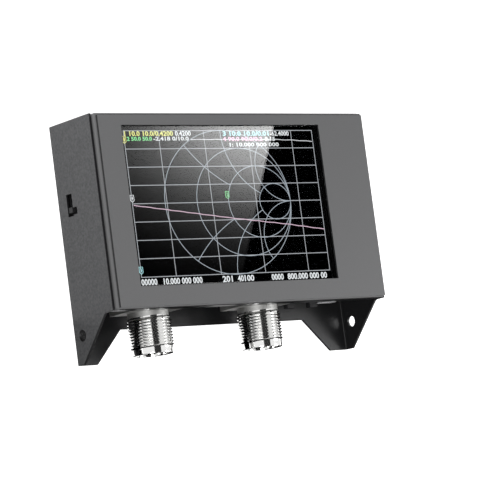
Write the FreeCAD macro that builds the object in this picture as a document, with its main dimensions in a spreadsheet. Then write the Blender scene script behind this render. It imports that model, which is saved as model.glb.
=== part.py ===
"""Two-port antenna analyzer: a folded sheet-steel case with a 4-inch touch display, two threaded
coaxial jacks on its bottom edge and two corner legs that guard them.

It lies on its back: +X to the right, +Y to the top of the display, +Z out of the display. The rear
plate is on z = 0 and the origin is the middle of the bottom of the whole object's box.
"""

import FreeCAD, Part

import math
import os
import re

import Sketcher

Vector = FreeCAD.Vector
Rotation = FreeCAD.Rotation

# Driving dimensions in millimetres: name, value, what it is.
DIMENSIONS = [
    ("case_width", 124.0, "over both side plates"),
    ("case_height", 69.1, "bottom edge to top edge, without the legs"),
    ("case_depth", 27.7, "rear plate's outer face to the front plate's face"),
    ("plate", 1.0, "thickness of the case's sheet steel"),
    ("bend_inside", 0.5, "inner radius of the rear shell's bends"),
    ("side_step", 1.4, "front cover's face to the side plates' front edges"),
    ("cover_bend_inside", 0.1, "front cover's rounded edges, less its thickness"),
    ("plate_side_inset", 1.75, "side of the case to the front plate's edge"),
    ("plate_top_inset", 1.05, "top edge of the case to the front plate's edge"),
    ("plate_bottom_inset", 0.6, "bottom edge of the case to the front plate's edge"),
    ("bezel_gap", 0.3, "front cover's opening round the touch glass"),
    ("seam", 0.15, "small clearance between the cover's flanges and the shell"),
    ("cover_jack_gap", 0.7, "front cover's bottom flange to the jacks' flanges"),
    ("window_left", 11.45, "left side of the case to the window"),
    ("window_right", 23.2, "right side of the case to the window"),
    ("window_top", 4.6, "top edge of the case to the window"),
    ("window_bottom", 7.6, "bottom edge of the case to the window"),
    ("leg_drop", 15.7, "bottom edge of the case to the legs' ends"),
    ("skirt_drop", 3.7, "how far the rear plate hangs below the case between the legs"),
    ("leg_foot_width", 8.6, "rear face of a leg at its end"),
    ("leg_root_width", 20.2, "rear face of a leg where it meets the skirt"),
    ("leg_root_depth", 20.5, "side of a leg at the case's bottom edge, from the rear"),
    ("leg_foot_depth", 4.5, "side of a leg at its end, from the rear"),
    ("leg_round", 2.0, "rounding where the legs' slopes start"),
    ("leg_hole_radius", 2.0, "hole in each leg's side"),
    ("leg_hole_drop", 5.75, "bottom edge of the case to the leg holes"),
    ("leg_hole_depth", 5.7, "rear face to the leg holes"),
    ("slot_bottom", 36.0, "bottom edge of the case to the switch slot"),
    ("slot_length", 7.8, "switch slot"),
    ("slot_width", 3.2, "switch slot"),
    ("slot_depth", 6.1, "rear face to the switch slot"),
    ("notch_side", 2.4, "square assembly notch beside the switch slot"),
    ("notch_rise", 0.4, "slot's lower end to the notch"),
    ("gasket_thickness", 0.2, "adhesive sheet behind the front plate"),
    ("glass_thickness", 1.1, "touch glass"),
    ("glass_border", 2.4, "touch glass past the window on every side"),
    ("gasket_width", 1.8, "adhesive on the glass, and front plate's edge to the adhesive"),
    ("display_depth", 3.0, "display module behind the glass"),
    ("display_inset", 0.4, "display frame inside the touch glass's outline"),
    ("frame_wall", 0.5, "display module's metal frame"),
    ("cell_thickness", 1.3, "liquid crystal cell"),
    ("module_gap", 0.05, "clearance inside the display frame"),
    ("board_thickness", 1.6, "circuit board"),
    ("board_side_gap", 1.0, "side plate's inner face to the board"),
    ("board_bottom", 1.3, "bottom edge of the case to the board"),
    ("board_top_gap", 1.2, "top flange to the board"),
    ("post_inset", 5.8, "side of the case to the posts' axes"),
    ("post_rise", 6.0, "bottom and top edge of the case to the posts' axes"),
    ("post_radius", 2.3, "front posts"),
    ("post_bore", 1.25, "threaded holes of the posts"),
    ("stud_radius", 1.2, "studs and screws"),
    ("stud_length", 6.0, "rear posts' studs, with the stretch in the board"),
    ("hex_radius", 2.6, "rear posts, centre to corner"),
    ("bore_depth", 7.0, "threaded holes of the posts"),
    ("board_hole_radius", 1.35, "board's holes at the posts"),
    ("screw_length", 6.0, "case screws"),
    ("screw_head_radius", 2.35, "countersunk heads"),
    ("screw_head_sink", 0.05, "heads below the rear face"),
    ("screw_clearance", 0.06, "between a countersunk head and its seat"),
    ("screw_recess", 0.55, "depth of the cross recess"),
    ("screw_cross", 2.4, "span of the cross recess"),
    ("screw_cross_wall", 0.5, "width of the cross recess's arms"),
    ("jack_shift", 38.6, "middle of the case to the first jack's axis, to the left"),
    ("jack_spacing", 49.3, "between the two jacks' axes"),
    ("jack_axis_depth", 13.5, "rear face to the jacks' axes"),
    ("thread_radius", 7.94, "five-eighths inch outside thread"),
    ("thread_pitch", 1.058, "24 turns to the inch"),
    ("thread_depth", 0.64, "crest to root; the neck and the front ring are as thin as the root"),
    ("thread_crest", 0.3, "flat on top of the thread"),
    ("thread_start", 2.0, "bottom edge of the case to the thread"),
    ("thread_length", 10.75, "threaded stretch"),
    ("jack_reach", 14.85, "bottom edge of the case to the jacks' mouths"),
    ("mouth_chamfer", 0.4, "chamfer at the jacks' mouths"),
    ("jack_bore_radius", 4.1, "inside of the jack's outer conductor"),
    ("mouth_bore_radius", 5.6, "wider bore at the jack's mouth"),
    ("mouth_bore_depth", 2.5, "depth of the wider bore"),
    ("jack_flange_width", 22.0, "square flange behind the neck, across"),
    ("jack_flange_depth", 15.0, "flange, front to rear"),
    ("jack_flange_thickness", 2.5, "flange"),
    ("jack_flange_rise", 0.3, "bottom edge of the case to the flange"),
    ("jack_leg", 2.0, "square legs that hold the board's edge"),
    ("jack_leg_length", 6.0, "legs, above the flange"),
    ("jack_leg_spacing", 12.0, "between the legs' axes"),
    ("solder_gap", 0.1, "between the jack's legs and the board"),
    ("contact_radius", 1.52, "centre contact"),
    ("contact_bore_radius", 0.83, "socket in the centre contact"),
    ("contact_bore_depth", 5.0, "socket in the centre contact"),
    ("contact_slit", 0.25, "slits of the centre contact"),
    ("contact_recess", 4.8, "jack's mouth to the centre contact's tip"),
    ("contact_tail_radius", 0.65, "solder tail"),
    ("contact_tail_length", 4.5, "solder tail over the board"),
    ("insulator_recess", 7.6, "jack's mouth to the insulator"),
    ("fit_gap", 0.04, "clearance of the jack's inner pieces"),
    ("usb_gap", 0.28, "second push-button body to the charging port"),
    ("usb_width", 8.94, "charging port's shell"),
    ("usb_height", 3.2, "charging port's shell"),
    ("usb_length", 7.3, "charging port's shell"),
    ("usb_wall", 0.3, "charging port's shell"),
    ("usb_recess", 0.5, "bottom edge of the case to the charging port's mouth"),
    ("usb_back", 1.0, "closed end of the charging port"),
    ("tongue_width", 6.6, "contact tongue"),
    ("tongue_thickness", 0.7, "contact tongue"),
    ("tongue_recess", 0.8, "mouth to the tongue's tip"),
    ("button_gap", 0.85, "second jack's flange to the first push-button body"),
    ("button_spacing", 10.6, "between the buttons' axes"),
    ("button_width", 3.7, "button cap"),
    ("button_thickness", 2.4, "button cap"),
    ("button_stand", 1.0, "button caps below the case's bottom edge"),
    ("button_travel", 0.4, "button stroke"),
    ("button_body_width", 4.7, "push-button body"),
    ("button_body_height", 3.5, "push-button body off the board"),
    ("button_body_length", 3.6, "push-button body along the board"),
    ("button_body_rise", 0.4, "board's edge to the push-button body"),
    ("plunger_width", 2.6, "plunger in the push-button body"),
    ("plunger_thickness", 1.4, "plunger in the push-button body"),
    ("plunger_length", 2.4, "plunger in the push-button body"),
    ("guide_gap", 0.08, "clearance of the moving pieces in their guides"),
    ("stop_gap", 0.15, "clearance at the end of a stroke"),
    ("lever_width", 2.2, "switch lever, front to rear"),
    ("lever_height", 2.0, "switch lever along the slot"),
    ("lever_rise", 1.2, "slot's lower end to the lever"),
    ("lever_recess", 0.1, "side plate's outer face to the lever's end"),
    ("lever_travel", 4.0, "throw of the switch"),
    ("carriage_height", 3.6, "slider inside the switch"),
    ("carriage_width", 3.2, "slider inside the switch, front to rear"),
    ("carriage_length", 2.0, "slider inside the switch, side to side"),
    ("switch_gap", 0.6, "side plate to the switch body"),
    ("switch_wall", 0.5, "switch body around the slider"),
    ("led_width", 2.0, "indicator lamps"),
    ("led_height", 1.2, "indicator lamps off the board"),
    ("led_length", 1.0, "indicator lamps along the board"),
    ("led_spacing", 3.1, "between the lamps' axes"),
    ("battery_width", 60.0, "lithium cell"),
    ("battery_height", 36.0, "lithium cell"),
    ("battery_thickness", 6.0, "lithium cell"),
    ("battery_shift", 2.0, "middle of the case to the cell's middle, to the right"),
    ("battery_rise", 20.0, "bottom edge of the case to the cell"),
    ("battery_round", 2.0, "cell's long edges"),
    ("battery_tab", 4.0, "taped circuit at the end of the cell"),
    ("battery_tab_thickness", 2.0, "taped circuit at the end of the cell"),
    ("pad_thickness", 0.3, "adhesive pad under the cell"),
    ("pad_inset", 3.0, "adhesive pad inside the cell's outline"),
    ("socket_width", 6.0, "battery socket on the board"),
    ("socket_depth", 4.0, "battery socket on the board"),
    ("socket_height", 3.0, "battery socket on the board"),
    ("socket_gap", 0.5, "taped circuit to the battery socket"),
    ("plug_length", 3.0, "battery plug in front of the socket"),
    ("lead_radius", 0.6, "battery lead"),
    ("lead_spacing", 2.0, "between the two battery leads"),
    ("lead_straight", 1.0, "leads' straight stretch out of the plug"),
    ("ribbon_width", 20.0, "display ribbon"),
    ("ribbon_thickness", 0.2, "display ribbon"),
    ("ribbon_rise", 34.0, "bottom edge of the case to the ribbon's middle"),
    ("ribbon_straight", 1.5, "ribbon's straight stretch at the display"),
    ("ribbon_socket_width", 24.0, "ribbon socket along the board's side"),
    ("ribbon_socket_length", 4.5, "ribbon socket across"),
    ("ribbon_socket_height", 2.0, "ribbon socket off the board"),
    ("ribbon_height", 1.0, "ribbon over the board, in its socket"),
    ("can_thickness", 0.25, "shield cans' sheet"),
    ("can_height", 3.0, "shield cans off the board"),
    ("can_length", 24.0, "shield cans, bottom to top"),
    ("can_rise", 12.0, "bottom edge of the case to the shield cans"),
    ("receiver_can_width", 19.0, "shield can over a receiver"),
    ("source_can_width", 21.0, "shield can over the signal source"),
]

# Places that follow from the driving dimensions.
PLACES = {
    "left_side": "-case_width / 2",
    "case_bottom": "(leg_drop - case_height) / 2",
    "case_top": "(case_bottom + case_height)",
    "face_back": "(case_depth - plate)",
    "cover_front": "(face_back - gasket_thickness)",
    "cover_back": "(cover_front - plate)",
    "plate_x": "(left_side + plate_side_inset)",
    "plate_y": "(case_bottom + plate_bottom_inset)",
    "plate_width": "(case_width - 2 * plate_side_inset)",
    "plate_height": "(case_height - plate_top_inset - plate_bottom_inset)",
    "bend_radius": "(bend_inside + plate)",
    "cover_bend": "(cover_bend_inside + plate)",
    "cover_half": "(case_width / 2 - plate - seam)",
    "side_front": "(cover_front - side_step)",
    "window_x": "(left_side + window_left)",
    "window_y": "(case_bottom + window_bottom)",
    "window_width": "(case_width - window_left - window_right)",
    "window_height": "(case_height - window_top - window_bottom)",
    "glass_x": "(window_x - glass_border)",
    "glass_y": "(window_y - glass_border)",
    "glass_width": "(window_width + 2 * glass_border)",
    "glass_height": "(window_height + 2 * glass_border)",
    "glass_front": "cover_front",
    "glass_back": "(glass_front - glass_thickness)",
    "display_x": "(glass_x + display_inset)",
    "display_y": "(glass_y + display_inset)",
    "display_width": "(glass_width - 2 * display_inset)",
    "display_height": "(glass_height - 2 * display_inset)",
    "display_back": "(glass_back - display_depth)",
    "cell_back": "(glass_back - cell_thickness)",
    "light_back": "(display_back + frame_wall)",
    "inner_x": "(display_x + frame_wall + module_gap)",
    "inner_y": "(display_y + frame_wall + module_gap)",
    "inner_width": "(display_width - 2 * frame_wall - 2 * module_gap)",
    "inner_height": "(display_height - 2 * frame_wall - 2 * module_gap)",
    "board_front": "(jack_axis_depth - contact_tail_radius)",
    "board_back": "(board_front - board_thickness)",
    "board_half": "(case_width / 2 - plate - board_side_gap)",
    "board_low": "(case_bottom + board_bottom)",
    "board_high": "(case_top - plate - board_top_gap)",
    "flange_low": "(case_bottom + jack_flange_rise)",
    "flange_high": "(flange_low + jack_flange_thickness)",
    "mouth": "(case_bottom - jack_reach)",
    "thread_root": "(thread_radius - thread_depth)",
    "second_jack": "(jack_spacing - jack_shift)",
    "post_x": "(case_width / 2 - post_inset)",
    "post_low": "(case_bottom + post_rise)",
    "post_high": "(case_top - post_rise)",
    "slot_low": "(case_bottom + slot_bottom)",
    "lever_low": "(slot_low + lever_rise)",
    "lever_rear": "(slot_depth + (slot_width - lever_width) / 2)",
    "lever_axis": "(slot_depth + slot_width / 2)",
    "switch_x": "(left_side + plate + switch_gap)",
    "carriage_x": "(switch_x + switch_wall + guide_gap)",
    "carriage_low": "(lever_low + (lever_height - carriage_height) / 2)",
    "carriage_rear": "(lever_axis - carriage_width / 2)",
    "cavity_low": "(carriage_low - stop_gap)",
    "cavity_height": "(carriage_height + lever_travel + 2 * stop_gap)",
    "first_button": "(second_jack + jack_flange_width / 2 + button_gap + button_body_width / 2)",
    "second_button": "(first_button + button_spacing)",
    "button_axis_depth": "(board_front + button_body_height / 2)",
    "button_body_low": "(board_low + button_body_rise)",
    "cap_low": "(case_bottom - button_stand)",
    "cap_high": "(button_body_low - button_travel - stop_gap)",
    "battery_x": "(battery_shift - battery_width / 2)",
    "battery_y": "(case_bottom + battery_rise)",
    "battery_z": "(plate + pad_thickness)",
    "battery_end": "(battery_x + battery_width)",
    "ribbon_level": "(display_back + display_depth / 2)",
    "ribbon_low_level": "(board_front + ribbon_height)",
    "ribbon_start": "(display_x + display_width)",
    "ribbon_turn": "(ribbon_start + ribbon_straight)",
    "ribbon_y": "(case_bottom + ribbon_rise)",
    "usb_x": "(second_button + button_body_width / 2 + usb_gap + usb_width / 2)",
    "usb_low": "(case_bottom + usb_recess)",
}

doc = FreeCAD.newDocument("antenna_analyzer")
sheet = doc.addObject("Spreadsheet::Sheet", "Sheet")
for row, (alias, value, note) in enumerate(DIMENSIONS, start=1):
    sheet.set(f"A{row}", alias)
    sheet.set(f"B{row}", str(value))
    sheet.set(f"C{row}", note)
    sheet.setAlias(f"B{row}", alias)
doc.recompute()

ALIASES = {alias for alias, _, _ in DIMENSIONS}
NODES = []


def formula(text):
    """Write a formula of dimension and place names as an expression on the sheet."""

    def swap(found):
        word = found.group(0)
        if word in PLACES:
            return "(" + formula(PLACES[word]) + ")"
        return "Sheet." + word if word in ALIASES else word

    return re.sub(r"[a-z_]\w*", swap, str(text))


def measure(text):
    """The present value of a formula, in millimetres."""
    return float(sheet.evalExpression(formula(text)))


def place(thing, at, turn=None, owner="Placement"):
    """Put a thing at three formulas, turned by a fixed rotation."""
    setattr(thing, owner, FreeCAD.Placement(Vector(*map(measure, at)), turn or Rotation()))
    for axis, text in zip("xyz", at):
        thing.setExpression(f"{owner}.Base.{axis}", formula(text))


def primitive(kind, name, at, turn=None, **sizes):
    """A Part primitive whose sizes and place follow the sheet."""
    thing = doc.addObject("Part::" + kind, name)
    for size, text in sizes.items():
        thing.setExpression(size, formula(text))
    place(thing, at, turn)
    return thing


def box(name, x, y, z, width, height, depth):
    """A box: width along X, height along Y, depth along Z."""
    return primitive("Box", name, (x, y, z), Length=width, Width=height, Height=depth)


def rod(name, x, y, z, radius, length, turn=None):
    """A cylinder along Z, or along the turned axis."""
    return primitive("Cylinder", name, (x, y, z), turn, Radius=radius, Height=length)


# Turns of primitives: Z to -Y, Z to +X, and a half ring's opening to -X with its axis along Y.
DOWN = Rotation(Vector(1, 0, 0), 90)
ALONG_X = Rotation(Vector(0, 1, 0), 90)
HALF_TURN = DOWN * Rotation(Vector(0, 0, 1), -90)


def fuse(name, *things):
    """One solid from several that meet."""
    joined = doc.addObject("Part::MultiFuse", name)
    joined.Shapes = list(things)
    joined.Refine = True
    return joined


def cut(name, base, *tools):
    """A base with tools taken out of it."""
    result = doc.addObject("Part::Cut", name)
    result.Base = base
    result.Tool = tools[0] if len(tools) == 1 else fuse(name + "_tools", *tools)
    return result


def group(name, *things):
    """Several separate solids that share one node."""
    together = doc.addObject("Part::Compound", name)
    together.Links = list(things)
    return together


def node(thing, label):
    """Give a finished sub-part its name."""
    thing.Label = label
    NODES.append(thing)
    return thing


def new_body(name):
    return doc.addObject("PartDesign::Body", name)


def outline(body, name, plane, corners, lift="0", slide="0"):
    """A closed sketch outline on one of the body's own planes.

    A corner is (across, up), or (across, up, radius) when the stretch that starts there is an arc that
    keeps the outline on its left, or (across, up, -radius) when it keeps it on its right.
    """
    sketch = body.newObject("Sketcher::SketchObject", name)
    support = next(f for f in body.Origin.OriginFeatures if f.Role == plane)
    sketch.AttachmentSupport = [(support, "")]
    sketch.MapMode = "FlatFace"
    place(sketch, (slide, "0", lift), owner="AttachmentOffset")
    points = [Vector(measure(c[0]), measure(c[1]), 0) for c in corners]
    count = len(corners)
    links = []
    for i, corner in enumerate(corners):
        start, end = points[i], points[(i + 1) % count]
        if len(corner) == 2:
            sketch.addGeometry(Part.LineSegment(start, end))
        else:
            add_arc(sketch, start, end, corner[2])
    for i, corner in enumerate(corners):
        after = corners[(i + 1) % count]
        links.append(
            Sketcher.Constraint(
                "Coincident", i, end_point(corner), (i + 1) % count, start_point(after)
            )
        )
    sketch.addConstraint(links)
    for i, corner in enumerate(corners):
        for kind, text, value in zip(("DistanceX", "DistanceY"), corner, points[i]):
            spot = Sketcher.Constraint(kind, -1, 1, i, start_point(corner), value)
            bind(sketch, sketch.addConstraint(spot), text)
        if len(corner) == 3:
            radius = corner[2].lstrip("-")
            size = Sketcher.Constraint("Radius", i, measure(radius))
            bind(sketch, sketch.addConstraint(size), radius)
    return sketch


def bind(sketch, index, text):
    sketch.setExpression(f"Constraints[{index}]", formula(text))


def start_point(corner):
    """An arc of a sketch always runs anticlockwise, so a clockwise stretch starts at its end."""
    return 2 if len(corner) == 3 and corner[2].startswith("-") else 1


def end_point(corner):
    return 3 - start_point(corner)


def add_arc(sketch, start, end, radius_text):
    """A minor arc between two points; a leading minus sign makes it clockwise."""
    clockwise = radius_text.startswith("-")
    radius = measure(radius_text.lstrip("-"))
    first, last = (end, start) if clockwise else (start, end)
    chord = last - first
    half = chord.Length / 2
    rise = math.sqrt(max(radius * radius - half * half, 0.0))
    middle = (first + last) * 0.5 + Vector(-chord.y, chord.x, 0).normalize() * rise
    circle = Part.Circle(middle, Vector(0, 0, 1), radius)
    low = math.atan2(first.y - middle.y, first.x - middle.x)
    high = math.atan2(last.y - middle.y, last.x - middle.x)
    if high < low:
        high += 2 * math.pi
    sketch.addGeometry(Part.ArcOfCircle(circle, low, high))


def rectangle(x, y, width, height):
    """Corners of a rectangle for outline."""
    return [
        (x, y),
        (f"{x} + {width}", y),
        (f"{x} + {width}", f"{y} + {height}"),
        (x, f"{y} + {height}"),
    ]


def pad(body, name, sketch, length, both_sides=False, reverse=False):
    feature = body.newObject("PartDesign::Pad", name)
    feature.Profile = sketch
    feature.setExpression("Length", formula(length))
    feature.Midplane = both_sides
    feature.Reversed = reverse
    return feature


def pocket(body, name, sketch, length, both_sides=False, reverse=False):
    """A pocket cuts against its sketch's normal, or along it when reversed."""
    feature = body.newObject("PartDesign::Pocket", name)
    feature.Profile = sketch
    feature.setExpression("Length", formula(length))
    feature.Midplane = both_sides
    feature.Reversed = reverse
    return feature


def round_hole(body, name, plane, spots, radius, length, both_sides=False, reverse=False):
    """Round holes at several spots of one plane, all of one radius."""
    sketch = body.newObject("Sketcher::SketchObject", name + "_circles")
    support = next(f for f in body.Origin.OriginFeatures if f.Role == plane)
    sketch.AttachmentSupport = [(support, "")]
    sketch.MapMode = "FlatFace"
    for i, (across, up) in enumerate(spots):
        centre = Vector(measure(across), measure(up), 0)
        sketch.addGeometry(Part.Circle(centre, Vector(0, 0, 1), measure(radius)))
        for kind, text, value in (("DistanceX", across, centre.x), ("DistanceY", up, centre.y)):
            spot = Sketcher.Constraint(kind, -1, 1, i, 3, value)
            bind(sketch, sketch.addConstraint(spot), text)
        bind(sketch, sketch.addConstraint(Sketcher.Constraint("Radius", i, measure(radius))), radius)
    return pocket(body, name, sketch, length, both_sides, reverse)


def turned(body, name, corners, x):
    """A solid turned about a jack's axis from (radius, height) corners."""
    sketch = outline(body, name + "_section", "XY_Plane", corners, "jack_axis_depth", x)
    feature = body.newObject("PartDesign::Revolution", name)
    feature.Profile = sketch
    feature.ReferenceAxis = (sketch, ["V_Axis"])
    feature.Angle = 360
    return feature


def post_places():
    """The four posts' axes: across and up."""
    return [(x, y) for y in ("post_low", "post_high") for x in ("-post_x", "post_x")]


def make_rear_shell():
    """Rear plate, both side plates and both legs, folded from one sheet."""
    body = new_body("rear_shell_folds")
    half = "case_width / 2"
    inner = "(bend_radius - plate)"
    section = [
        (f"-{half} + bend_radius", "0"),
        (f"{half} - bend_radius", "0", "bend_radius"),
        (half, "bend_radius"),
        (half, "side_front"),
        (f"{half} - plate", "side_front"),
        (f"{half} - plate", "bend_radius", f"-{inner}"),
        (f"{half} - bend_radius", "plate"),
        (f"-{half} + bend_radius", "plate", f"-{inner}"),
        (f"-{half} + plate", "bend_radius"),
        (f"-{half} + plate", "side_front"),
        (f"-{half}", "side_front"),
        (f"-{half}", "bend_radius", "bend_radius"),
    ]
    folds = outline(body, "folds", "XZ_Plane", section, "-case_top")
    pad(body, "folded_sheet", folds, "case_height + leg_drop")
    skirt = "case_bottom - skirt_drop"
    foot = "case_bottom - leg_drop"
    between = [
        (f"-{half} + leg_root_width", skirt),
        (f"-{half} + leg_foot_width", foot),
        (f"-{half} + leg_foot_width", f"{foot} - plate"),
        (f"{half} - leg_foot_width", f"{foot} - plate"),
        (f"{half} - leg_foot_width", foot),
        (f"{half} - leg_root_width", skirt),
    ]
    gap = outline(body, "between_legs", "XY_Plane", between)
    pocket(body, "leg_gap", gap, "case_depth", reverse=True)
    slope = [
        ("case_bottom", "leg_root_depth"),
        (foot, "leg_foot_depth"),
        (f"{foot} - plate", "leg_foot_depth"),
        (f"{foot} - plate", "case_depth + plate"),
        ("case_bottom", "case_depth + plate"),
    ]
    front = outline(body, "leg_slopes", "YZ_Plane", slope)
    pocket(body, "leg_sides", front, "2 * case_width", both_sides=True)
    hole = [("case_bottom - leg_hole_drop", "leg_hole_depth")]
    round_hole(body, "leg_holes", "YZ_Plane", hole, "leg_hole_radius", "2 * case_width", True)
    notch = "slot_low + notch_rise"
    slot = [
        ("slot_low", "slot_depth"),
        ("slot_low + slot_length", "slot_depth"),
        ("slot_low + slot_length", "slot_depth + slot_width"),
        (f"{notch} + notch_side", "slot_depth + slot_width"),
        (f"{notch} + notch_side", "slot_depth + slot_width + notch_side"),
        (notch, "slot_depth + slot_width + notch_side"),
        (notch, "slot_depth + slot_width"),
        ("slot_low", "slot_depth + slot_width"),
    ]
    pocket(body, "switch_slot", outline(body, "slot_edge", "YZ_Plane", slot), "case_width")
    doc.recompute()
    round_leg_corners(body)
    seats = [
        primitive(
            "Cone",
            f"screw_seat_{i}",
            (x, y, "0"),
            Radius1="screw_head_radius + screw_clearance",
            Radius2="stud_radius + screw_clearance",
            Height="plate",
        )
        for i, (x, y) in enumerate(post_places())
    ]
    node(cut("rear_shell", body, *seats), "rear_shell")


def round_edges(body, name, wanted, radius):
    """Round the edges of a body's present shape that a test picks."""
    edges = enumerate(body.Shape.Edges, start=1)
    names = [f"Edge{number}" for number, edge in edges if wanted(edge)]
    last = body.Tip
    rounding = body.newObject("PartDesign::Fillet", name)
    rounding.Base = (last, names)
    rounding.setExpression("Radius", formula(radius))
    body.Tip = rounding


def round_leg_corners(body):
    """Round the side plates' lower edge where the legs' slopes start."""
    spot = (measure("case_bottom"), measure("leg_root_depth"))

    def at_slope(edge):
        middle = edge.CenterOfMass
        across = edge.BoundBox.XLength > 0.9 * measure("plate")
        return across and math.dist((middle.y, middle.z), spot) < 0.01

    round_edges(body, "leg_corners", at_slope, "leg_round")


def make_front_cover():
    """Lid under the front plate, open for the touch glass, flanged on all four sides."""
    body = new_body("front_cover")
    rear = "(plate + seam)"
    wide, high = "2 * cover_half", "case_height"
    block = outline(body, "lid_edge", "XY_Plane", rectangle("-cover_half", "case_bottom", wide, high), rear)
    pad(body, "block", block, f"cover_front - {rear}")
    doc.recompute()
    front = measure("cover_front")
    round_edges(body, "lid_corners", lambda edge: edge.BoundBox.ZMax > front - 0.01, "cover_bend")
    inside = rectangle(
        "-cover_half + plate", "case_bottom + plate", f"{wide} - 2 * plate", f"{high} - 2 * plate"
    )
    pocket(
        body, "hollow", outline(body, "hollow_edge", "XY_Plane", inside, rear), f"cover_back - {rear}",
        reverse=True
    )
    flange_back = "jack_axis_depth + jack_flange_depth / 2 + cover_jack_gap"
    below = rectangle("case_bottom - plate", "0", "case_height", flange_back)
    short = outline(body, "short_flange_edges", "YZ_Plane", below)
    pocket(body, "short_flanges", short, "2 * case_width", both_sides=True)
    opening = outline(
        body,
        "opening_edge",
        "XY_Plane",
        rectangle(
            "glass_x - bezel_gap",
            "glass_y - bezel_gap",
            "glass_width + 2 * bezel_gap",
            "glass_height + 2 * bezel_gap",
        ),
        "cover_front",
    )
    pocket(body, "opening", opening, "2 * plate")
    node(body, "front_cover")


def make_front_plate():
    """Flat front plate with the display window, bonded to the cover and the touch glass."""
    sheet_metal = box(
        "front_sheet", "plate_x", "plate_y", "face_back", "plate_width", "plate_height", "plate"
    )
    window = box(
        "front_window",
        "window_x",
        "window_y",
        "face_back - plate",
        "window_width",
        "window_height",
        "3 * plate",
    )
    node(cut("front_plate", sheet_metal, window), "front_plate")


def make_display():
    """Adhesive sheet, touch glass, liquid crystal cell, back light and the metal frame round them."""
    outer = box(
        "gasket_outer",
        "plate_x + gasket_width",
        "plate_y + gasket_width",
        "glass_front",
        "plate_width - 2 * gasket_width",
        "plate_height - 2 * gasket_width",
        "gasket_thickness",
    )
    hole = box(
        "gasket_hole",
        "glass_x + gasket_width",
        "glass_y + gasket_width",
        "glass_front",
        "glass_width - 2 * gasket_width",
        "glass_height - 2 * gasket_width",
        "gasket_thickness",
    )
    node(cut("screen_gasket", outer, hole), "screen_gasket")
    glass = box(
        "screen_glass", "glass_x", "glass_y", "glass_back", "glass_width", "glass_height", "glass_thickness"
    )
    node(glass, "screen_glass")
    tray = box(
        "display_tray",
        "display_x",
        "display_y",
        "display_back",
        "display_width",
        "display_height",
        "display_depth",
    )
    hollow = box(
        "display_hollow",
        "display_x + frame_wall",
        "display_y + frame_wall",
        "light_back",
        "display_width - 2 * frame_wall",
        "display_height - 2 * frame_wall",
        "display_depth",
    )
    node(cut("display_frame", tray, hollow), "display_frame")
    light = box(
        "back_light",
        "inner_x",
        "inner_y",
        "light_back",
        "inner_width",
        "inner_height",
        "cell_back - light_back",
    )
    node(light, "back_light")
    cell = box(
        "display_cell", "inner_x", "inner_y", "cell_back", "inner_width", "inner_height", "cell_thickness"
    )
    node(cell, "display_cell")


def make_ribbon():
    """The display's ribbon, folded back to its socket on the board."""
    body = new_body("display_ribbon")
    outer = "((ribbon_level - ribbon_low_level + ribbon_thickness) / 2)"
    inner = "((ribbon_level - ribbon_low_level - ribbon_thickness) / 2)"
    high, low = "ribbon_level", "ribbon_low_level"
    half = "ribbon_thickness / 2"
    tail = "ribbon_start - ribbon_socket_length / 2"
    section = [
        (tail, f"{low} - {half}"),
        ("ribbon_turn", f"{low} - {half}", outer),
        ("ribbon_turn + " + outer, f"({high} + {low}) / 2", outer),
        ("ribbon_turn", f"{high} + {half}"),
        ("ribbon_start", f"{high} + {half}"),
        ("ribbon_start", f"{high} - {half}"),
        ("ribbon_turn", f"{high} - {half}", f"-{inner}"),
        ("ribbon_turn + " + inner, f"({high} + {low}) / 2", f"-{inner}"),
        ("ribbon_turn", f"{low} + {half}"),
        (tail, f"{low} + {half}"),
    ]
    band = outline(body, "folded_band", "XZ_Plane", section, "-ribbon_y")
    pad(body, "band", band, "ribbon_width", both_sides=True)
    node(body, "display_ribbon")
    socket_x = f"({tail} - ribbon_socket_length / 2)"
    housing = box(
        "ribbon_housing",
        socket_x,
        "ribbon_y - ribbon_socket_width / 2",
        "board_front",
        "ribbon_socket_length",
        "ribbon_socket_width",
        "ribbon_socket_height",
    )
    mouth = box(
        "ribbon_mouth",
        tail,
        "ribbon_y - ribbon_width / 2 - guide_gap",
        f"{low} - {half} - guide_gap",
        "ribbon_socket_length",
        "ribbon_width + 2 * guide_gap",
        "ribbon_thickness + 2 * guide_gap",
    )
    node(cut("ribbon_socket", housing, mouth), "ribbon_socket")


def jack_axis(number):
    """The formula for a jack's place across the case."""
    return f"({number} * jack_spacing - jack_shift)"


def make_main_board():
    """The circuit board, notched for the jacks' flanges and drilled for the posts."""
    body = new_body("main_board")
    notch = "flange_high + solder_gap"
    reach = "(jack_flange_width / 2 + solder_gap)"
    edge = [("-board_half", "board_low")]
    for number in (0, 1):
        for corner_x in (f"{jack_axis(number)} - {reach}", f"{jack_axis(number)} + {reach}"):
            edge += [(corner_x, "board_low"), (corner_x, notch)]
        edge[-1], edge[-2] = edge[-2], edge[-1]
    edge += [("board_half", "board_low"), ("board_half", "board_high"), ("-board_half", "board_high")]
    pad(body, "board", outline(body, "board_edge", "XY_Plane", edge, "board_back"), "board_thickness")
    round_hole(
        body,
        "post_holes",
        "XY_Plane",
        post_places(),
        "board_hole_radius",
        "case_depth",
        reverse=True,
    )
    node(body, "main_board")


# Components of the board: name, left edge, from the case's bottom edge, width, height, thickness.
FRONT_CHIPS = [
    ("display_chip", "0", 46.0, 12.0, 12.0, 1.4),
    ("flash_chip", "17.0", 50.0, 5.2, 5.2, 1.6),
    ("crystal", "17.5", 42.0, 5.0, 3.2, 1.2),
    ("charger_chip", "board_half - 10.0", 10.0, 5.0, 5.0, 1.0),
    ("inductor", "board_half - 11.0", 16.0, 5.0, 5.0, 3.0),
]
BACK_CHIPS = [
    ("regulator", "board_half - 18.0", 16.0, 6.5, 3.5, 1.6),
    ("capacitor", "board_half - 18.0", 24.0, 6.0, 3.2, 2.0),
    ("driver_chip", "board_half - 18.0", 48.0, 5.0, 6.2, 1.5),
]
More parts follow.
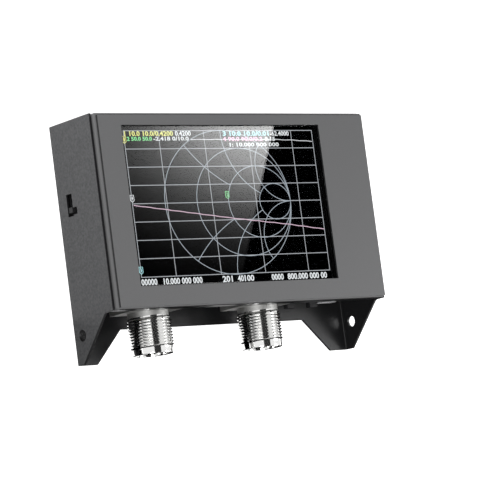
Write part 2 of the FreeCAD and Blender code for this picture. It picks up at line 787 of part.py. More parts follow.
# Shield cans over the two receivers and the source between them: name, middle, width.
CANS = [
    ("receiver_can_1", "-jack_shift", "receiver_can_width"),
    ("source_can", "(jack_spacing / 2 - jack_shift)", "source_can_width"),
    ("receiver_can_2", "second_jack", "receiver_can_width"),
]


def make_board_parts():
    """Chips on both faces of the board and the shield cans over the radio circuits."""
    chips = []
    for name, across, up, width, height, thickness in FRONT_CHIPS:
        at = (across, f"case_bottom + {up}", "board_front")
        chips.append(box(name, *at, width, height, thickness))
    for name, across, up, width, height, thickness in BACK_CHIPS:
        at = (across, f"case_bottom + {up}", f"board_back - {thickness}")
        chips.append(box(name, *at, width, height, thickness))
    node(group("board_chips", *chips), "board_chips")
    cans = []
    for name, middle, width in CANS:
        x, y = f"{middle} - {width} / 2", "case_bottom + can_rise"
        shell = box(name + "_shell", x, y, "board_front", width, "can_length", "can_height")
        hollow = box(
            name + "_hollow",
            f"{x} + can_thickness",
            f"{y} + can_thickness",
            "board_front",
            f"{width} - 2 * can_thickness",
            "can_length - 2 * can_thickness",
            "can_height - can_thickness",
        )
        cans.append(cut(name, shell, hollow))
    node(group("shield_cans", *cans), "shield_cans")


def thread_corners():
    """The threaded stretch's outline as (radius, height) corners, from the mouth up."""
    turns = int(measure("thread_length / thread_pitch"))
    corners = []
    for turn in range(turns):
        low = f"case_bottom - thread_start - thread_length + {turn} * thread_pitch"
        flank = "(thread_pitch - thread_crest) / 2"
        corners += [
            ("thread_root", low),
            ("thread_radius", f"{low} + {flank}"),
            ("thread_radius", f"{low} + {flank} + thread_crest"),
        ]
    corners.append(("thread_root", f"{low} + thread_pitch"))
    return corners


def make_port(number):
    """One coaxial jack: threaded body with flange and board legs, insulator and centre contact."""
    name = f"port_{number + 1}"
    x = jack_axis(number)
    body = new_body(name + "_barrel")
    section = [
        ("jack_bore_radius", "mouth + mouth_bore_depth"),
        ("mouth_bore_radius", "mouth + mouth_bore_depth"),
        ("mouth_bore_radius", "mouth"),
        ("thread_root - mouth_chamfer", "mouth"),
        ("thread_root", "mouth + mouth_chamfer"),
        *thread_corners(),
        ("thread_root", "flange_high"),
        ("jack_bore_radius", "flange_high"),
    ]
    turned(body, name + "_turned", section, x)
    flange = box(
        name + "_flange",
        f"{x} - jack_flange_width / 2",
        "flange_low",
        "jack_axis_depth - jack_flange_depth / 2",
        "jack_flange_width",
        "jack_flange_thickness",
        "jack_flange_depth",
    )
    opening = rod(
        name + "_flange_bore", x, "flange_high", "jack_axis_depth", "jack_bore_radius",
        "jack_flange_thickness", DOWN
    )
    legs = []
    for side in (-1, 1):
        for face, z in (("front", "board_front + solder_gap"), ("back", "board_back - solder_gap - jack_leg")):
            legs.append(
                box(
                    f"{name}_leg_{face}_{side + 1}",
                    f"{x} + {side} * jack_leg_spacing / 2 - jack_leg / 2",
                    "flange_high - plate",
                    z,
                    "jack_leg",
                    "jack_leg_length + plate",
                    "jack_leg",
                )
            )
    plate_part = cut(name + "_flange_plate", flange, opening)
    node(fuse(name + "_jack", body, plate_part, *legs), name + "_jack")
    make_port_inside(name, x)


def make_port_inside(name, x):
    """The insulator and the slit centre contact of one jack."""
    ring = new_body(name + "_insulator")
    low, high = "mouth + insulator_recess", "flange_high"
    radius = "jack_bore_radius - fit_gap"
    hole = "contact_radius + fit_gap"
    turned(ring, name + "_ring", [(hole, low), (radius, low), (radius, high), (hole, high)], x)
    node(ring, name + "_insulator")
    pin = new_body(name + "_pin")
    tip = "mouth + contact_recess"
    section = [
        ("contact_bore_radius", tip),
        ("contact_radius", tip),
        ("contact_radius", "flange_high"),
        ("contact_tail_radius", "flange_high"),
        ("contact_tail_radius", "flange_high + contact_tail_length"),
        ("0", "flange_high + contact_tail_length"),
        ("0", f"{tip} + contact_bore_depth"),
        ("contact_bore_radius", f"{tip} + contact_bore_depth"),
    ]
    turned(pin, name + "_turned_pin", section, x)
    slits = [
        box(
            name + "_slit_across",
            f"{x} - 2 * contact_radius",
            tip,
            "jack_axis_depth - contact_slit / 2",
            "4 * contact_radius",
            "contact_bore_depth - contact_slit",
            "contact_slit",
        ),
        box(
            name + "_slit_deep",
            f"{x} - contact_slit / 2",
            tip,
            "jack_axis_depth - 2 * contact_radius",
            "contact_slit",
            "contact_bore_depth - contact_slit",
            "4 * contact_radius",
        ),
    ]
    node(cut(name + "_contact", pin, *slits), name + "_contact")


def stadium(name, x, low, z, width, height, length):
    """A bar along +Y with half-round sides, its axis at x and its rear face at z."""
    side = f"({width} - {height}) / 2"
    parts = [
        rod(f"{name}_side_{sign}", f"{x} + {factor} * {side}", f"{low} + {length}", f"{z} + {height} / 2",
            f"{height} / 2", length, DOWN)
        for sign, factor in (("left", -1), ("right", 1))
    ]
    parts.append(box(name + "_middle", f"{x} - {side}", low, z, f"2 * {side}", length, height))
    return fuse(name, *parts)


def make_usb():
    """The charging port: a drawn shell with its contact tongue."""
    shell = stadium("usb_shell", "usb_x", "usb_low", "board_front", "usb_width", "usb_height", "usb_length")
    hollow = stadium(
        "usb_hollow",
        "usb_x",
        "usb_low",
        "(board_front + usb_wall)",
        "(usb_width - 2 * usb_wall)",
        "(usb_height - 2 * usb_wall)",
        "(usb_length - usb_back)",
    )
    node(cut("usb_socket", shell, hollow), "usb_socket")
    tongue = box(
        "usb_tongue",
        "usb_x - tongue_width / 2",
        "usb_low + tongue_recess",
        "board_front + (usb_height - tongue_thickness) / 2",
        "tongue_width",
        "usb_length - usb_back - tongue_recess",
        "tongue_thickness",
    )
    node(tongue, "usb_tongue")


def make_buttons():
    """Two side push-buttons on the board's bottom edge, each with its sliding cap."""
    bodies = []
    for number, side in enumerate(("left", "right")):
        x = f"(first_button + {number} * button_spacing)"
        case = box(
            f"button_case_{side}",
            f"{x} - button_body_width / 2",
            "button_body_low",
            "board_front",
            "button_body_width",
            "button_body_length",
            "button_body_height",
        )
        well = box(
            f"button_well_{side}",
            f"{x} - plunger_width / 2 - guide_gap",
            "button_body_low",
            "button_axis_depth - plunger_thickness / 2 - guide_gap",
            "plunger_width + 2 * guide_gap",
            "plunger_length + stop_gap",
            "plunger_thickness + 2 * guide_gap",
        )
        bodies.append(cut(f"button_body_{side}", case, well))
        cap = box(
            f"button_front_{side}",
            f"{x} - button_width / 2",
            "cap_low",
            "button_axis_depth - button_thickness / 2",
            "button_width",
            "cap_high - cap_low",
            "button_thickness",
        )
        plunger = box(
            f"button_plunger_{side}",
            f"{x} - plunger_width / 2",
            "cap_high",
            "button_axis_depth - plunger_thickness / 2",
            "plunger_width",
            "plunger_length - button_travel",
            "plunger_thickness",
        )
        node(fuse(f"button_cap_{side}", cap, plunger), f"button_cap_{side}")
    node(group("button_bodies", *bodies), "button_bodies")


def make_power_switch():
    """The slide switch behind the left side's slot: a hollow body and its sliding lever."""
    length = "(carriage_length + 2 * guide_gap + 2 * switch_wall)"
    rear = "(carriage_rear - guide_gap - switch_wall)"
    case = box(
        "switch_case",
        "switch_x",
        "cavity_low - switch_wall",
        rear,
        length,
        "cavity_height + 2 * switch_wall",
        f"board_back - {rear}",
    )
    hollow = box(
        "switch_hollow",
        "switch_x + switch_wall",
        "cavity_low",
        "carriage_rear - guide_gap",
        "carriage_length + 2 * guide_gap",
        "cavity_height",
        "carriage_width + 2 * guide_gap",
    )
    mouth = box(
        "switch_mouth",
        "switch_x",
        "lever_low - stop_gap",
        "lever_rear - guide_gap",
        "switch_wall + guide_gap",
        "lever_height + lever_travel + 2 * stop_gap",
        "lever_width + 2 * guide_gap",
    )
    node(cut("power_switch", case, hollow, mouth), "power_switch")
    lever = box(
        "switch_lever",
        "left_side + lever_recess",
        "lever_low",
        "lever_rear",
        "carriage_x - left_side - lever_recess",
        "lever_height",
        "lever_width",
    )
    carriage = box(
        "switch_carriage",
        "carriage_x",
        "carriage_low",
        "carriage_rear",
        "carriage_length",
        "carriage_height",
        "carriage_width",
    )
    node(fuse("power_slider", lever, carriage), "power_slider")


def make_lamps():
    """Two small indicator lamps at the board's bottom edge."""
    lamps = [
        box(
            f"status_lamp_{side}",
            f"(first_button + second_button {sign} led_spacing - led_width) / 2",
            "board_low",
            "board_front",
            "led_width",
            "led_length",
            "led_height",
        )
        for side, sign in (("left", "-"), ("right", "+"))
    ]
    node(group("status_lamps", *lamps), "status_lamps")


def make_posts_and_screws():
    """Posts pressed into the front face, posts behind the board, and the countersunk case screws."""
    front, rear, screws = [], [], []
    for i, (x, y) in enumerate(post_places()):
        pillar = rod(f"front_pillar_{i}", x, y, "board_front", "post_radius", "cover_back - board_front")
        bore = rod(f"front_bore_{i}", x, y, "board_front", "post_bore", "bore_depth")
        front.append(cut(f"front_post_{i}", pillar, bore))
        hexagon = primitive(
            "Prism", f"hexagon_{i}", (x, y, "plate"), Circumradius="hex_radius", Height="board_back - plate"
        )
        hexagon.Polygon = 6
        hollow = rod(f"rear_bore_{i}", x, y, "plate", "post_bore", "bore_depth")
        stud = rod(f"stud_{i}", x, y, "board_back", "stud_radius", "stud_length")
        rear.append(fuse(f"rear_post_{i}", cut(f"hex_post_{i}", hexagon, hollow), stud))
        screws.append(make_screw(i, x, y))
    node(group("front_posts", *front), "front_posts")
    node(group("rear_posts", *rear), "rear_posts")
    node(group("case_screws", *screws), "case_screws")


def make_screw(i, x, y):
    """A countersunk screw with a cross recess, its head in the rear plate."""
    head = primitive(
        "Cone",
        f"screw_head_{i}",
        (x, y, "screw_head_sink"),
        Radius1="screw_head_radius",
        Radius2="stud_radius",
        Height="plate - screw_head_sink",
    )
    shank = rod(f"screw_shank_{i}", x, y, "plate", "stud_radius", "screw_length")
    arms = [
        box(
            f"screw_arm_{i}_{turn}",
            f"{x} - {width} / 2",
            f"{y} - {height} / 2",
            "screw_head_sink",
            width,
            height,
            "screw_recess",
        )
        for turn, (width, height) in enumerate(
            (("screw_cross", "screw_cross_wall"), ("screw_cross_wall", "screw_cross"))
        )
    ]
    return cut(f"case_screw_{i}", fuse(f"screw_solid_{i}", head, shank), *arms)


def make_battery():
    """The lithium cell on its pad, its taped end, its two leads, their plug and its socket."""
    pad_box = box(
        "battery_pad",
        "battery_x + pad_inset",
        "battery_y + pad_inset",
        "plate",
        "battery_width - 2 * pad_inset",
        "battery_height - 2 * pad_inset",
        "pad_thickness",
    )
    node(pad_box, "battery_pad")
    body = new_body("battery")
    high = "battery_y + battery_height"
    top = "battery_z + battery_thickness"
    section = [
        ("battery_y + battery_round", "battery_z"),
        (f"{high} - battery_round", "battery_z", "battery_round"),
        (high, "battery_z + battery_round"),
        (high, f"{top} - battery_round", "battery_round"),
        (f"{high} - battery_round", top),
        ("battery_y + battery_round", top, "battery_round"),
        ("battery_y", f"{top} - battery_round"),
        ("battery_y", "battery_z + battery_round", "battery_round"),
    ]
    pouch = outline(body, "pouch_section", "YZ_Plane", section, "battery_x")
    pad(body, "pouch", pouch, "battery_width")
    tab = outline(
        body,
        "taped_end",
        "YZ_Plane",
        rectangle(
            "battery_y + battery_round",
            f"{top} - battery_round - battery_tab_thickness",
            "battery_height - 2 * battery_round",
            "battery_tab_thickness",
        ),
        "battery_end",
    )
    pad(body, "tape", tab, "battery_tab")
    node(body, "battery")
    make_battery_leads(f"({top} - battery_round - battery_tab_thickness / 2)")


def make_battery_leads(level):
    """Two leads: out of the taped end, round a half turn and into the plug under the board."""
    start = "(battery_end + battery_tab)"
    socket_x = f"({start} + socket_gap)"
    plug_x = f"({socket_x} + socket_depth)"
    plug_end = f"({plug_x} + plug_length)"
    turn = f"({plug_end} + lead_straight)"
    plug_level = "(board_back - socket_height / 2)"
    middle = "(battery_y + battery_height / 2)"
    leads = []
    for side, sign in (("low", "-"), ("high", "+")):
        y = f"{middle} {sign} lead_spacing / 2"
        out = rod(f"lead_out_{side}", start, y, level, "lead_radius", f"{turn} - {start}", ALONG_X)
        back = rod(
            f"lead_back_{side}", plug_end, y, plug_level, "lead_radius", "lead_straight", ALONG_X
        )
        bow = primitive(
            "Torus",
            f"lead_bow_{side}",
            (turn, y, f"({plug_level} + {level}) / 2"),
            HALF_TURN,
            Radius1=f"({plug_level} - {level}) / 2",
            Radius2="lead_radius",
        )
        bow.Angle3 = 180
        leads.append(fuse(f"battery_lead_{side}", out, bow, back))
    node(group("battery_leads", *leads), "battery_leads")
    low = f"({middle} - socket_width / 2)"
    for name, x, length in (
        ("battery_plug", plug_x, "plug_length"),
        ("battery_socket", socket_x, "socket_depth"),
    ):
        housing = box(
            name, x, low, "board_back - socket_height", length, "socket_width", "socket_height"
        )
        node(housing, name)


def check(thing):
    """Stop at an object that failed or a sub-part without a sound shape."""
    if any(word in ("Invalid", "Error") for word in thing.State):
        raise RuntimeError(f"{thing.Label}: {thing.State}")


def main():
    make_rear_shell()
    make_front_cover()
    make_front_plate()
    make_display()
    make_ribbon()
    make_main_board()
    make_board_parts()
    for number in (0, 1):
        make_port(number)
    make_usb()
    make_buttons()
    make_power_switch()
    make_lamps()
    make_posts_and_screws()
    make_battery()
    doc.recompute()
    for thing in doc.Objects:
        check(thing)
    os.makedirs("parts", exist_ok=True)
    for thing in NODES:
        if thing.Shape.isNull() or not thing.Shape.isValid():
            raise RuntimeError(f"{thing.Label}: its shape is not sound")
    for thing in NODES:
        thing.Shape.exportStep(f"parts/{thing.Label}.step")
        print(f"{thing.Label}: {len(thing.Shape.Solids)} solid(s), {thing.Shape.Volume:.1f} mm3")


main()
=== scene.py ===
"""Looks of the antenna analyzer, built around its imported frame.

Lengths are metres in the frame's own axes: +X to the right of the display, +Y to its top, +Z out of it.
The analyzer lies on its back on z = 0. Each operator makes one piece or group of like pieces.
"""

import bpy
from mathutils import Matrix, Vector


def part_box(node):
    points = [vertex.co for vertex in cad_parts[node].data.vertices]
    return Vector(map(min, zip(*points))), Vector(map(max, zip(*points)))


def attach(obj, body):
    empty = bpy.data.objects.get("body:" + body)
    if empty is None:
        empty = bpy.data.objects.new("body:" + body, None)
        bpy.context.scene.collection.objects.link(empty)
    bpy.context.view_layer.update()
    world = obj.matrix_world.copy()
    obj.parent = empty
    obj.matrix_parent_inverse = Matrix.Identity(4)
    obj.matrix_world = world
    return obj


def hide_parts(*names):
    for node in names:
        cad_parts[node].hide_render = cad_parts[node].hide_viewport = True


bl_info = {
    "name": "Antenna analyzer looks",
    "version": (1, 0, 0),
    "blender": (4, 5, 0),
    "location": "View3D > Sidebar > Analyzer",
    "description": "Finishes, threads, display picture, screws and studio of the antenna analyzer",
    "category": "Object",
}

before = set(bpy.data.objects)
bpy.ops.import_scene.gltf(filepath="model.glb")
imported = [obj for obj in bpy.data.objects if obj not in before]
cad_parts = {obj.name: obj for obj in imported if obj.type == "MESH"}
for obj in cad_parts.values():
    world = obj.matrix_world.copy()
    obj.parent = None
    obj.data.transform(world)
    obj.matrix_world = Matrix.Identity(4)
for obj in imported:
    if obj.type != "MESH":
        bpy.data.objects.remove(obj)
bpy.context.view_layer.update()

import math

import bmesh
import bpy
from bpy.props import FloatProperty, FloatVectorProperty, IntProperty, PointerProperty
from bpy.types import Operator, Panel, PropertyGroup
from mathutils import Matrix, Vector

CASE = "case"

# Corners of the pieces that others are placed against, from the frame.
LID_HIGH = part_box("front_cover")[1]
SHELL_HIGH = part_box("rear_shell")[1]
CELL_LOW, CELL_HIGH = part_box("display_cell")
GLASS_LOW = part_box("screen_glass")[0]

MM = 0.001
SHEET = 1.0 * MM  # Thickness of the case's sheet
JOIN = 1e-6  # Vertices closer than this are one


def length(name, description, default, **more):
    """A size in metres that can be small."""
    return FloatProperty(
        name=name,
        description=description,
        default=default,
        min=0.0,
        unit="LENGTH",
        subtype="DISTANCE",
        precision=5,
        **more,
    )


def share(name, description, default):
    """A number from 0 to 1."""
    return FloatProperty(
        name=name, description=description, default=default, min=0.0, max=1.0, subtype="FACTOR"
    )


def color(name, description, default):
    """A colour."""
    return FloatVectorProperty(
        name=name, description=description, default=default, size=3, min=0.0, max=1.0, subtype="COLOR"
    )


def power(name, description, default):
    """A lamp's power."""
    return FloatProperty(name=name, description=description, default=default, min=0.0, unit="POWER")


class CaseLook(PropertyGroup):
    """Paint of the folded sheet metal, and the near-black painted shade of its inner faces, the lid's
    underside and its cut edges.
    """

    coat: color("Shell coat", "Powder coat of the rear shell and lid", (0.088, 0.089, 0.092))
    plate: color("Plate coat", "Smooth matte coat of the front plate", (0.165, 0.166, 0.169))
    # Painted shade: a near-black colour that stands in for the shade of the inner faces, the lid's underside
    # and the seams at the cut edges.
    inside: color("Inside coat", "Black coat of the inner faces and the cut edges", (0.012, 0.012, 0.013))
    grain: length("Grain", "Size of the powder coat's grain", 0.0008)
    speckle: share("Speckle", "Tone spread of the powder coat's grain", 0.26)
    coat_roughness: share("Shell roughness", "Roughness of the powder coat", 0.55)
    plate_roughness: share("Plate roughness", "Roughness of the front plate's coat", 0.45)
    painted_shade_roughness: share("Inside roughness", "Roughness of the inside coat", 0.32)
    edge: length("Edge radius", "Rounding of the cut sheet edges", 0.00014)


class ScreenLook(PropertyGroup):
    """The display's picture: a square grid, a round chart, traces, markers and plain numbers."""

    margin: length("Margin", "Glass edge to the window's edge", 0.0024)
    grid_left: length("Grid left", "Window's left edge to the grid", 0.00208)
    grid_width: length("Grid width", "Left border to right border", 0.08532)
    grid_foot: length("Grid foot", "Window's bottom edge to the grid", 0.0034)
    grid_height: length("Grid height", "Bottom border to top border", 0.0517)
    rows: IntProperty(name="Rows", description="Rows of the grid", default=8, min=1)
    columns: IntProperty(name="Columns", description="Upright lines between the borders", default=4, min=1)
    column_start: length("Column start", "Window's left edge to the first upright line", 0.01725)
    column_step: length("Column step", "Between upright lines", 0.02007)
    line: length("Line width", "Width of a drawn line", 0.00026)
    chart_x: length("Chart middle across", "Window's left edge to the chart's middle", 0.04475)
    chart_y: length("Chart middle up", "Window's bottom edge to the chart's middle", 0.02915)
    chart_radius: length("Chart radius", "Round chart, from its middle up", 0.0260)
    chart_stretch: FloatProperty(
        name="Chart stretch",
        description="Chart's width over its height",
        default=1.092,
        min=0.5,
        max=2.0,
        subtype="FACTOR",
    )
    grid_color: color("Grid color", "Light of the grid's lines", (0.90, 0.94, 1.00))
    chart_color: color("Chart color", "Light of the round chart's lines", (0.80, 0.90, 1.00))
    glow: share("Glow", "Brightness of the drawn lines", 0.52)
    text_glow: share("Number glow", "Brightness of the numbers", 0.95)


class JackLook(PropertyGroup):
    """The threaded coaxial jacks."""

    plating: color("Plating", "Polished nickel", (0.82, 0.82, 0.81))
    roughness: share("Roughness", "Roughness of the plating", 0.09)
    radius: length("Thread radius", "Over the thread's crests", 0.00794)
    root: length("Root radius", "At the thread's roots, neck and front ring", 0.0073)
    pitch: length("Pitch", "One turn of the thread", 0.001058)
    thread: length("Thread length", "First crest to last", 0.01075)


class StageLook(PropertyGroup):
    """Camera, floor and lamps."""

    lens: FloatProperty(
        name="Lens",
        description="Focal length on a 36 mm sensor",
        default=220.09,
        min=10.0,
        unit="CAMERA",
        subtype="DISTANCE_CAMERA",
    )
    floor: color("Floor", "Colour of the pale floor", (0.80, 0.80, 0.80))
    ambient: share("Ambient", "Strength of the even light on the object", 0.22)
    key: power("Key lamp", "Power of the key lamp", 7.0)
    fill: power("Fill lamp", "Power of the fill lamp", 0.9)
    side: power("Side lamp", "Power of the near side lamp", 0.06)
    glare: FloatProperty(
        name="Glare",
        description="Brightness of the card that the glass reflects",
        default=6.3,
        min=0.0,
        subtype="FACTOR",
    )


def look(name):
    """The settings of one property group."""
    return getattr(bpy.context.scene, "analyzer_" + name)


def add_node(tree, kind, given=None, **settings):
    """Add a node; given maps an input's name or number to a value or to another node's output."""
    made = tree.nodes.new(kind)
    for key, value in settings.items():
        setattr(made, key, value)
    for key, value in (given or {}).items():
        if isinstance(value, bpy.types.NodeSocket):
            tree.links.new(value, made.inputs[key])
        else:
            made.inputs[key].default_value = value
    return made


def calculated(tree, operation, *values):
    """The output of a new math node."""
    return add_node(tree, "ShaderNodeMath", dict(enumerate(values)), operation=operation).outputs[0]


def placed(name, data):
    """A new object in the scene."""
    thing = bpy.data.objects.new(name, data)
    bpy.context.scene.collection.objects.link(thing)
    return thing


def new_material(name):
    """A material with its node tree and its surface shader."""
    material = bpy.data.materials.new(name)
    material.use_nodes = True
    return material, material.node_tree, material.node_tree.nodes["Principled BSDF"]


TONE_STOPS = (0.3, 0.7)  # Grain heights of the darkest and the lightest tone
SHEEN_SPREAD = 0.1


def finish(
    name, base, roughness,
    metallic=0.0, grain=0.0005, spread=0.06, bump=0.0, stretch=(1.0, 1.0, 1.0), gloss=0.5,
):
    """A material whose colour, roughness and surface vary with a grain, in object coordinates."""
    material, tree, shader = new_material(name)
    shader.inputs["Metallic"].default_value = metallic
    shader.inputs["Specular IOR Level"].default_value = gloss
    place = add_node(tree, "ShaderNodeTexCoord")
    scale = [part / grain for part in stretch]
    mapping = add_node(tree, "ShaderNodeMapping", {"Vector": place.outputs["Object"], "Scale": scale})
    noise = add_node(
        tree, "ShaderNodeTexNoise", {"Vector": mapping.outputs["Vector"], "Scale": 1.0, "Detail": 3.0}
    )
    grains = noise.outputs["Fac"]
    tones = add_node(tree, "ShaderNodeValToRGB", {"Fac": grains})
    for element, position, side in zip(tones.color_ramp.elements, TONE_STOPS, (-1, 1)):
        element.position = position
        element.color = (*(min(part * (1.0 + side * spread), 1.0) for part in base), 1.0)
    wear = {
        "Value": grains,
        "To Min": roughness * (1.0 - SHEEN_SPREAD),
        "To Max": min(roughness * (1.0 + SHEEN_SPREAD), 1.0),
    }
    sheen = add_node(tree, "ShaderNodeMapRange", wear)
    tree.links.new(tones.outputs["Color"], shader.inputs["Base Color"])
    tree.links.new(sheen.outputs["Result"], shader.inputs["Roughness"])
    if bump:
        relief = add_node(tree, "ShaderNodeBump", {"Distance": bump, "Height": grains})
        tree.links.new(relief.outputs["Normal"], shader.inputs["Normal"])
    return material


def glow(name, light, strength):
    """A material that gives its own light on a black ground."""
    material, tree, shader = new_material(name)
    shader.inputs["Base Color"].default_value = (0.01, 0.01, 0.01, 1.0)
    shader.inputs["Roughness"].default_value = 0.6
    shader.inputs["Specular IOR Level"].default_value = 0.0
    shader.inputs["Emission Color"].default_value = (*light, 1.0)
    shader.inputs["Emission Strength"].default_value = strength
    return material


def dress(node, material):
    """Give a frame node that shows as it is its finish."""
    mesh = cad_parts[node].data
    mesh.materials.clear()
    mesh.materials.append(material)


def add_piece(name, mesh, materials, body=CASE, stands_for=()):
    """Put a finished mesh in the scene as a piece that rides on a body."""
    mesh.materials.clear()
    for material in materials:
        mesh.materials.append(material)
    piece = placed(name, mesh)
    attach(piece, body)
    if stands_for:
        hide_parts(*stands_for)


def mesh_from(bm, name, smooth_angle=30.0):
    """Turn a bmesh into a mesh, smooth below an angle."""
    mesh = bpy.data.meshes.new(name)
    bm.to_mesh(mesh)
    bm.free()
    mesh.shade_smooth()
    mesh.set_sharp_from_angle(angle=math.radians(smooth_angle))
    return mesh


def plain_copy(thing):
    """A plain mesh of an object with its modifiers applied."""
    depsgraph = bpy.context.evaluated_depsgraph_get()
    return bpy.data.meshes.new_from_object(
        thing.evaluated_get(depsgraph), preserve_all_data_layers=True, depsgraph=depsgraph
    )


def merged(node):
    """A bmesh copy of a frame node's mesh, its triangles joined."""
    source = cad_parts[node].data.copy()
    if "custom_normal" in source.attributes:
        source.attributes.remove(source.attributes["custom_normal"])
    bm = bmesh.new()
    bm.from_mesh(source)
    bpy.data.meshes.remove(source)
    bmesh.ops.remove_doubles(bm, verts=bm.verts, dist=JOIN)
    return bm


FLAT = math.radians(0.5)  # Faces that turn less than this are one
SHARP = math.radians(35.0)  # Edges that turn more than this are rounded


def rounded(bm, name, edge, segments=3):
    """The mesh of a bmesh with its sharp edges rounded."""
    bmesh.ops.dissolve_limit(bm, angle_limit=FLAT, verts=bm.verts, edges=bm.edges)
    holder = placed(name, mesh_from(bm, name))
    modifier = holder.modifiers.new("rounding", "BEVEL")
    modifier.width = edge
    modifier.segments = segments
    modifier.limit_method = "ANGLE"
    modifier.angle_limit = SHARP
    modifier.harden_normals = True
    modifier.use_clamp_overlap = False
    result = plain_copy(holder)
    bpy.data.objects.remove(holder)
    return result


def softened(node, edge):
    """A copy of a frame node's mesh with its sharp edges rounded."""
    return rounded(merged(node), node + "_soft", edge)


def paint_second(mesh, second):
    """Give the faces that a test picks the mesh's second material."""
    for face in mesh.polygons:
        face.material_index = 1 if second(face.center, face.normal) else 0


class ANALYZER_OT_case(Operator):
    """Rear shell, lid and front plate: rounded cut edges, powder coat outside, near-black painted shade on
    the inner faces, the lid's underside and the cut edges
    """

    bl_idname = "analyzer.case"
    bl_label = "Case"

    def execute(self, context):
        settings = look("case")
        coat = finish(
            "shell_powder_coat", settings.coat, settings.coat_roughness,
            grain=settings.grain, spread=settings.speckle, bump=0.00005, gloss=0.2,
        )
        smooth = finish(
            "plate_matte_coat", settings.plate, settings.plate_roughness,
            grain=0.0006, spread=0.02, bump=0.000005, gloss=0.25,
        )
        # Painted shade: this near-black material darkens the inner faces, the lid's underside and the cut
        # edges at the seams, where the case lies in shade.
        black = finish(
            "inside_black_coat", settings.inside, settings.painted_shade_roughness,
            grain=0.0008, spread=0.1, bump=0.000006, gloss=0.35,
        )

        # The tests below say which faces wear the near-black painted shade: the inner faces, the lid's
        # underside and the cut edges at the seams.
        def shell_painted_shade(centre, normal):
            if abs(normal.y) > 0.4:
                return True
            if centre.z < 1.5 * SHEET and abs(centre.x) < SHELL_HIGH.x - 1.5 * SHEET:
                return normal.z > -0.5
            outward = math.copysign(1.0, centre.x) * normal.x
            return outward < 0.3 and not (normal.z < -0.5 and centre.z < SHEET)

        def lid_painted_shade(centre, normal):
            outward = centre.x * normal.x > 0 and abs(centre.x) > LID_HIGH.x - 1.2 * SHEET
            upward = normal.y > 0 and centre.y > LID_HIGH.y - 1.2 * SHEET
            return not (outward or upward or normal.z > 0.7)

        def plate_painted_shade(centre, normal):
            return abs(normal.x) > 0.9 or normal.z < -0.5

        table = (
            ("rear_shell", "rear_shell_painted", coat, "case_coat", shell_painted_shade),
            ("front_cover", "front_lid_painted", smooth, "case_coat", lid_painted_shade),
            ("front_plate", "front_plate_painted", smooth, "cover_coat", plate_painted_shade),
        )
        for node, name, outside, slot, dark in table:
            mesh = softened(node, settings.edge)
            add_piece(name, mesh, (outside, black), stands_for=[node])
            paint_second(mesh, dark)
        return {"FINISHED"}


class ANALYZER_OT_glass(Operator):
    """Touch glass over the display"""

    bl_idname = "analyzer.glass"
    bl_label = "Touch glass"

    def execute(self, context):
        material, tree, shader = new_material("touch_glass")
        shader.inputs["Base Color"].default_value = (0.97, 0.98, 0.98, 1.0)
        shader.inputs["Roughness"].default_value = 0.0
        shader.inputs["IOR"].default_value = 1.5
        shader.inputs["Transmission Weight"].default_value = 1.0
        glass = softened("screen_glass", 0.12 * MM)
        add_piece("touch_glass_pane", glass, (material,), stands_for=["screen_glass"])
        return {"FINISHED"}


def slab(bm, low, high):
    """Add a box between two corners to a bmesh."""
    matrix = Matrix.Translation((low + high) / 2) @ Matrix.Diagonal((*(high - low), 1.0))
    bmesh.ops.create_cube(bm, size=1.0, matrix=matrix)


def ribbon(bm, points, width, low, thickness, closed=False):
    """Add a flat band of one width along points in the plane, its underside at a height."""
    rings = []
    count = len(points)
    for i, point in enumerate(points):
        before = points[(i - 1) % count if closed else max(i - 1, 0)]
        after = points[(i + 1) % count if closed else min(i + 1, count - 1)]
        along = (after - before).normalized()
        side = Vector((-along.y, along.x)) * (width / 2)
        left, right, high = point + side, point - side, low + thickness
        ends = ((left, low), (right, low), (right, high), (left, high))
        rings.append([bm.verts.new((*end, z)) for end, z in ends])
    pairs = list(zip(rings, rings[1:]))
    if closed:
        pairs.append((rings[-1], rings[0]))
    for first, second in pairs:
        for k in range(4):
            bm.faces.new((first[k], first[(k + 1) % 4], second[(k + 1) % 4], second[k]))
    if not closed:
        bm.faces.new(rings[0][::-1])
        bm.faces.new(rings[-1])


# The picture lies in thin layers between the display panel and the glass.
PANEL_TOP = CELL_HIGH.z - 0.12 * MM
FIRST_LAYER = PANEL_TOP + 0.004 * MM
INK = 0.018 * MM  # Thickness of a drawn line
LAYER_STEP = 1.15 * INK
GRID_LAYER, CHART_LAYER, TRACE_LAYER, FLAG_LAYER, NUMBER_LAYER = range(5)


def layer(number):
    """Underside of a layer of the picture."""
    return FIRST_LAYER + number * LAYER_STEP


def window_point(across, up):
    """A point of the picture, from the window's lower left corner."""
    margin = look("screen").margin
    return Vector((GLASS_LOW.x + margin + across, GLASS_LOW.y + margin + up))


class ANALYZER_OT_display(Operator):
    """Black display panel under the glass"""

    bl_idname = "analyzer.display"
    bl_label = "Display panel"

    def execute(self, context):
        black = finish("display_black", (0.0016, 0.0017, 0.0020), 0.5, grain=0.002, spread=0.05, gloss=0.0)
        bm = bmesh.new()
        slab(bm, CELL_LOW, Vector((CELL_HIGH.x, CELL_HIGH.y, PANEL_TOP)))
        mesh = mesh_from(bm, "display_panel")
        add_piece("display_panel", mesh, (black,), stands_for=["display_cell"])
        return {"FINISHED"}


def new_tree(name, *sockets):
    """A node tree with named inputs; returns it with its input and output nodes."""
    tree = bpy.data.node_groups.new(name, "GeometryNodeTree")
    for socket, kind in sockets:
        tree.interface.new_socket(socket, in_out="INPUT", socket_type="NodeSocket" + kind)
    tree.interface.new_socket("Geometry", in_out="OUTPUT", socket_type="NodeSocketGeometry")
    return tree, add_node(tree, "NodeGroupInput"), add_node(tree, "NodeGroupOutput")


